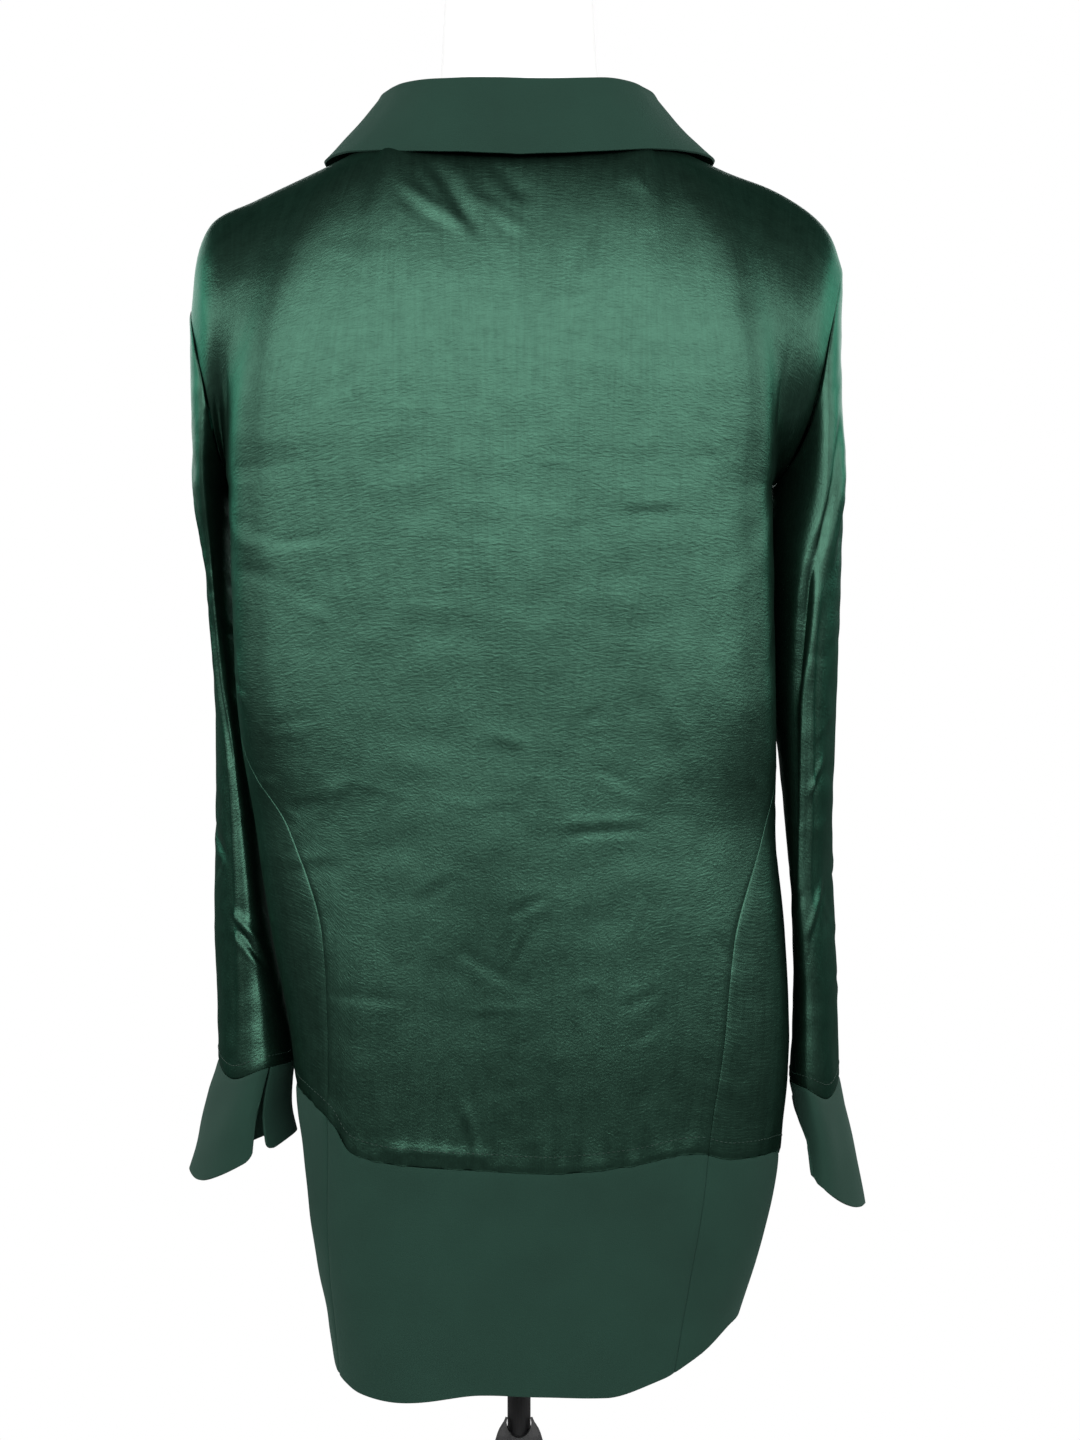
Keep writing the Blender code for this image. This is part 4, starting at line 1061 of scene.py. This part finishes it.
def satin_paint(name, settings):
    """Black satin paint on metal: slight orange peel and rubbed patches."""
    made = Nodes(name)
    rubbed = made.noise(EVEN, 60.0, 4.0, 0.65)
    made.tint(rubbed, settings.stand_colour, (0.4, 1.0), (0.75, 1.9))
    made.rough(rubbed, 0.48, 0.62)
    made.relief((made.noise(EVEN, 420.0, 2.0), 0.12, 0.0003))
    return made.material


def black_rubber(name, settings):
    """Dull black rubber with a moulded grain and dusty scuffs."""
    made = Nodes(name, Roughness=0.9)
    scuffs = made.noise(EVEN, 90.0, 4.0, 0.7)
    made.tint(scuffs, shaded(settings.stand_colour, 0.9), (0.45, 1.0), (0.8, 3.0))
    made.relief((made.noise(EVEN, 700.0, 2.0), 0.3, 0.0002))
    return made.material


def pale_floor(name, settings):
    """A pale painted studio floor."""
    made = Nodes(name, Roughness=0.8)
    made.tint(made.noise(EVEN, 3.0), settings.floor_colour, (0.3, 1.0), (0.7, 1.0476))
    return made.material


FINISHES = {
    "washed satin": washed_satin,
    "matte crepe": matte_crepe,
    "sewing thread": sewing_thread,
    "white jersey cover": jersey_cover,
    "black satin paint": satin_paint,
    "black rubber": black_rubber,
    "pale floor": pale_floor,
}


def shared(name, settings):
    """The named material, made the first time that it is asked for."""
    return bpy.data.materials.get(name) or FINISHES[name](name, settings)


# --- Settings ---


def colour_property(label, description, default):
    """A colour that the user can change."""
    return bpy.props.FloatVectorProperty(
        name=label, description=description, subtype="COLOR", size=3, min=0.0, max=1.0, default=default,
    )


def size_property(label, description, default, least, most):
    """A length in metres."""
    return bpy.props.FloatProperty(
        name=label, description=description, unit="LENGTH", default=default, min=least, max=most,
    )


def share_property(label, description, default):
    """A plain share from 0 to 1."""
    return bpy.props.FloatProperty(
        name=label, description=description, subtype="FACTOR", default=default, min=0.0, max=1.0,
    )


def power_property(label, description, default):
    """A light's power in watts."""
    return bpy.props.FloatProperty(
        name=label, description=description, unit="POWER", default=default, min=0.0,
    )


def count_property(label, description, default):
    """How many columns or rows a grid has."""
    return bpy.props.IntProperty(name=label, description=description, default=default, min=6, max=400)


class TunicSettings(bpy.types.PropertyGroup):
    """Sizes and colours of the tunic's cloth."""

    satin_colour: colour_property("Satin colour", "Tint of the satin's gloss", (0.0268, 0.0672, 0.0470))
    satin_roughness: share_property("Satin roughness", "Breadth of the satin's gloss", 0.36)
    crepe_colour: colour_property(
        "Crepe colour", "Colour of collar, cuffs and hem band", (0.0094, 0.0345, 0.0236)
    )
    satin_thickness: size_property("Satin thickness", "Wall of the satin pieces", 0.0012, 0.0005, 0.003)
    crepe_thickness: size_property("Crepe thickness", "Wall of the crepe pieces", 0.0015, 0.0005, 0.003)
    body_columns: count_property("Body columns", "Grid columns across a body panel", 150)
    body_rows: count_property("Body rows", "Grid rows up a body panel", 150)
    band_rows: count_property("Band rows", "Grid rows of the hem band", 44)
    sleeve_columns: count_property("Sleeve columns", "Grid columns around a sleeve", 120)
    sleeve_rows: count_property("Sleeve rows", "Grid rows up a sleeve", 180)
    cuff_columns: count_property("Cuff columns", "Grid columns around a cuff", 100)
    cuff_rows: count_property("Cuff rows", "Grid rows down a cuff", 30)
    collar_columns: count_property("Collar columns", "Grid columns along the collar", 200)
    collar_rows: count_property("Collar rows", "Grid rows down the collar's fall", 34)


class FormSettings(bpy.types.PropertyGroup):
    """Sizes and colours of the dress form and its stand."""

    form_columns: count_property("Form columns", "Grid columns around the form", 96)
    form_rows: count_property("Form rows", "Grid rows up the form", 121)
    cover_colour: colour_property("Cover colour", "Jersey cover of the form", (0.92, 0.92, 0.915))
    stand_colour: colour_property("Stand colour", "Paint of the pole, hub and legs", (0.010, 0.010, 0.011))


class StudioSettings(bpy.types.PropertyGroup):
    """Floor and lights."""

    floor_radius: size_property("Floor radius", "Radius of the pale floor", 0.72, 0.3, 3.0)
    floor_colour: colour_property("Floor colour", "Paint of the floor", (0.84, 0.84, 0.83))
    key_power: power_property("Key light", "Power of the large soft light behind the camera", 128.0)
    side_power: power_property("Side lights", "Power of each soft strip at the sides", 58.0)
    front_power: power_property("Front light", "Power of the strip that lights the tunic's front", 44.0)
    top_power: power_property("Top light", "Power of the high strip that reaches the shoulders", 28.0)
    fill_strength: share_property("Fill", "Strength of the dim light from all round", 0.11)


# --- Operators ---


class TUNIC_OT_body(bpy.types.Operator):
    """Build the satin front and back"""

    bl_idname = "tunic.body"
    bl_label = "Front and back"

    def execute(self, context):
        settings = context.scene.tunic
        for is_back, node in PANELS:
            sew(settings, PANEL_CUT, node + "_panel", node, body_panel(is_back, settings))
        return {"FINISHED"}


class TUNIC_OT_bands(bpy.types.Operator):
    """Build the crepe hem bands"""

    bl_idname = "tunic.bands"
    bl_label = "Hem bands"

    def execute(self, context):
        settings = context.scene.tunic
        for is_back, name in PANELS:
            node = name + "_hem_band"
            sew(settings, BAND_CUT, node + "_piece", node, band_panel(is_back, settings))
        return {"FINISHED"}


class TUNIC_OT_sleeves(bpy.types.Operator):
    """Build both satin sleeves"""

    bl_idname = "tunic.sleeves"
    bl_label = "Sleeves"

    def execute(self, context):
        settings = context.scene.tunic
        for side in (LEFT, RIGHT):
            node = "sleeve_" + side.name
            points = sleeve_surface(side, settings)
            sew(settings, SLEEVE_CUT, node + "_tube", node, points, side)
        return {"FINISHED"}


class TUNIC_OT_cuffs(bpy.types.Operator):
    """Build both open crepe cuffs"""

    bl_idname = "tunic.cuffs"
    bl_label = "Cuffs"

    def execute(self, context):
        settings = context.scene.tunic
        for side in (LEFT, RIGHT):
            node = "cuff_" + side.name
            points = cuff_surface(side, settings)
            sew(settings, CUFF_CUT, node + "_piece", node, points, side)
        return {"FINISHED"}


class TUNIC_OT_collar(bpy.types.Operator):
    """Build the folded crepe collar"""

    bl_idname = "tunic.collar"
    bl_label = "Collar"

    def execute(self, context):
        settings = context.scene.tunic
        sew(settings, COLLAR_CUT, "collar_piece", "collar", collar_surface(settings))
        return {"FINISHED"}


class TUNIC_OT_stitching(bpy.types.Operator):
    """Sew the rows of stitches along the band seam and the cuff seams"""

    bl_idname = "tunic.stitching"
    bl_label = "Stitching"

    def execute(self, context):
        settings = context.scene.tunic
        thread = shared("sewing thread", settings)
        for is_back, name in PANELS:
            points = body_panel(is_back, settings)
            normal = normals_of(points)
            stitches("band_stitches_" + name, points[BAND_STITCH_ROW], normal[BAND_STITCH_ROW], thread)
        for side in (LEFT, RIGHT):
            points = sleeve_surface(side, settings)
            normal = normals_of(points, True) * side.way
            ring = np.arange(settings.sleeve_columns + 1) % settings.sleeve_columns
            path, over = points[CUFF_STITCH_ROW, ring], normal[CUFF_STITCH_ROW, ring]
            stitches("cuff_seam_stitches_" + side.name, path, over, thread)
        return {"FINISHED"}


class TUNIC_OT_form(bpy.types.Operator):
    """Finish the dress form and its stand"""

    bl_idname = "tunic.form"
    bl_label = "Dress form and stand"

    def execute(self, context):
        settings = context.scene.tunic_form
        cover = shared("white jersey cover", settings)
        body = place("form_body", grid_mesh("form_body", form_surface(settings) + AXIS, True), cover)
        close_ends(body)
        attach(body, "root")
        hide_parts("form_torso")
        paint = shared("black satin paint", settings)
        rubber = shared("black rubber", settings)
        finishes = {"form_torso": cover, "pole": paint, "hub": paint}
        for name in ("left_rear", "front", "right_rear"):
            finishes["leg_" + name] = paint
            finishes["foot_" + name] = rubber
        for name, finish in finishes.items():
            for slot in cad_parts[name].material_slots:
                slot.material = finish
        return {"FINISHED"}


class TUNIC_OT_stage(bpy.types.Operator):
    """Set up the floor, the soft lights and the camera"""

    bl_idname = "tunic.stage"
    bl_label = "Studio"

    def execute(self, context):
        settings = context.scene.tunic_studio
        add_floor(settings)
        add_lights(settings)
        add_surround(settings)
        add_camera()
        return {"FINISHED"}


def add_floor(settings):
    """A round pale floor under the stand: rings of growing radius around the centre."""
    turn = np.linspace(0.0, 2.0 * math.pi, FLOOR_SIDES, endpoint=False)
    radius = np.linspace(0.0, settings.floor_radius, FLOOR_RINGS + 1)[1:, None]
    level = np.full((FLOOR_RINGS, FLOOR_SIDES), FLOOR_LEVEL)
    ring = np.stack((radius * np.cos(turn), radius * np.sin(turn), level), axis=-1)
    points = np.concatenate((ring.reshape(-1, 3), [(0.0, 0.0, FLOOR_LEVEL)]))
    quads = cells(FLOOR_RINGS, FLOOR_SIDES, True)[..., ::-1]
    side = np.arange(FLOOR_SIDES)
    centre = np.stack((np.full(FLOOR_SIDES, len(points) - 1), side, (side + 1) % FLOOR_SIDES), axis=-1)
    mesh = bpy.data.meshes.new("studio_floor")
    mesh.from_pydata(points, [], quads.reshape(-1, 4).tolist() + centre.tolist())
    place("studio_floor", mesh, shared("pale floor", settings), "Studio")


def add_lights(settings):
    """A wide strip above and behind the camera, a shorter one at each side, one for the
    front and a high one: each a soft rectangle, turned from its place to the aim."""
    for lamp in LAMPS:
        light = bpy.data.lights.new(lamp.name, "AREA")
        light.shape = "RECTANGLE"
        light.size = lamp.width
        light.size_y = lamp.height
        light.energy = getattr(settings, lamp.power)
        strip = place(lamp.name, light, None, "Studio")
        strip.rotation_euler = (
            math.atan2(math.hypot(lamp.x, lamp.y), lamp.z - LIGHT_AIM), 0.0, math.atan2(lamp.x, -lamp.y)
        )
        strip.location = (AXIS[0] + lamp.x, AXIS[1] + lamp.y, lamp.z)
        strip.visible_camera = lamp.name != "front_light"


def add_surround(settings):
    """A surround that is white to the camera and lights the part only dimly."""
    world = bpy.data.worlds.new("studio")
    bpy.context.scene.world = world
    world.use_nodes = True
    tree = world.node_tree
    path = tree.nodes.new("ShaderNodeLightPath")
    blend = tree.nodes.new("ShaderNodeMixShader")
    tree.links.new(path.outputs["Is Camera Ray"], blend.inputs["Fac"])
    glows = (tree.nodes["Background"], tree.nodes.new("ShaderNodeBackground"))
    for number, glow, strength in ((1, glows[0], settings.fill_strength), (2, glows[1], 1.0)):
        glow.inputs["Color"].default_value = (1.0, 1.0, 1.0, 1.0)
        glow.inputs["Strength"].default_value = strength
        tree.links.new(glow.outputs["Background"], blend.inputs[number])
    tree.links.new(blend.outputs["Shader"], tree.nodes["World Output"].inputs["Surface"])
    bpy.context.scene.view_settings.view_transform = "Standard"
    bpy.context.scene.view_settings.look = "None"


def add_camera():
    """The camera behind the tunic, level, at the height of the photo's middle."""
    camera = bpy.data.cameras.new("camera")
    camera.sensor_fit = "HORIZONTAL"
    camera.sensor_width = SENSOR_WIDTH
    camera.lens = SENSOR_WIDTH * FOCAL_PIXELS / PHOTO_WIDTH
    viewer = place("camera", camera, None, "Studio")
    viewer.location = (AXIS[0] + CAMERA_ASIDE, AXIS[1] + CAMERA_DISTANCE, CAMERA_HEIGHT)
    viewer.rotation_euler = (math.pi / 2.0, 0.0, math.pi)
    bpy.context.scene.camera = viewer


class TUNIC_PT_panel(bpy.types.Panel):
    """The tunic's steps in the sidebar"""

    bl_idname = "TUNIC_PT_panel"
    bl_label = "Tunic on a dress form"
    bl_space_type = "VIEW_3D"
    bl_region_type = "UI"
    bl_category = "Tunic"

    def draw(self, context):
        layout = self.layout
        for operator in OPERATORS:
            layout.operator(operator.bl_idname, text=operator.bl_label)
        for owner in (context.scene.tunic, context.scene.tunic_form, context.scene.tunic_studio):
            box = layout.box()
            for name in owner.bl_rna.properties.keys():
                if name not in ("rna_type", "name"):
                    box.prop(owner, name)


OPERATORS = (
    TUNIC_OT_body,
    TUNIC_OT_bands,
    TUNIC_OT_sleeves,
    TUNIC_OT_cuffs,
    TUNIC_OT_collar,
    TUNIC_OT_stitching,
    TUNIC_OT_form,
    TUNIC_OT_stage,
)
CLASSES = (TunicSettings, FormSettings, StudioSettings) + OPERATORS + (TUNIC_PT_panel,)


def register():
    """Register the classes and hang the settings on the scene."""
    for item in CLASSES:
        bpy.utils.register_class(item)
    bpy.types.Scene.tunic = bpy.props.PointerProperty(type=TunicSettings)
    bpy.types.Scene.tunic_form = bpy.props.PointerProperty(type=FormSettings)
    bpy.types.Scene.tunic_studio = bpy.props.PointerProperty(type=StudioSettings)


def unregister():
    """Take the settings and classes away again."""
    del bpy.types.Scene.tunic
    del bpy.types.Scene.tunic_form
    del bpy.types.Scene.tunic_studio
    for item in reversed(CLASSES):
        bpy.utils.unregister_class(item)


def main():
    """Build the tunic step by step."""
    register()
    bpy.ops.tunic.body()
    bpy.ops.tunic.bands()
    bpy.ops.tunic.sleeves()
    bpy.ops.tunic.cuffs()
    bpy.ops.tunic.collar()
    bpy.ops.tunic.stitching()
    bpy.ops.tunic.form()
    bpy.ops.tunic.stage()


if __name__ == "__main__":
    main()
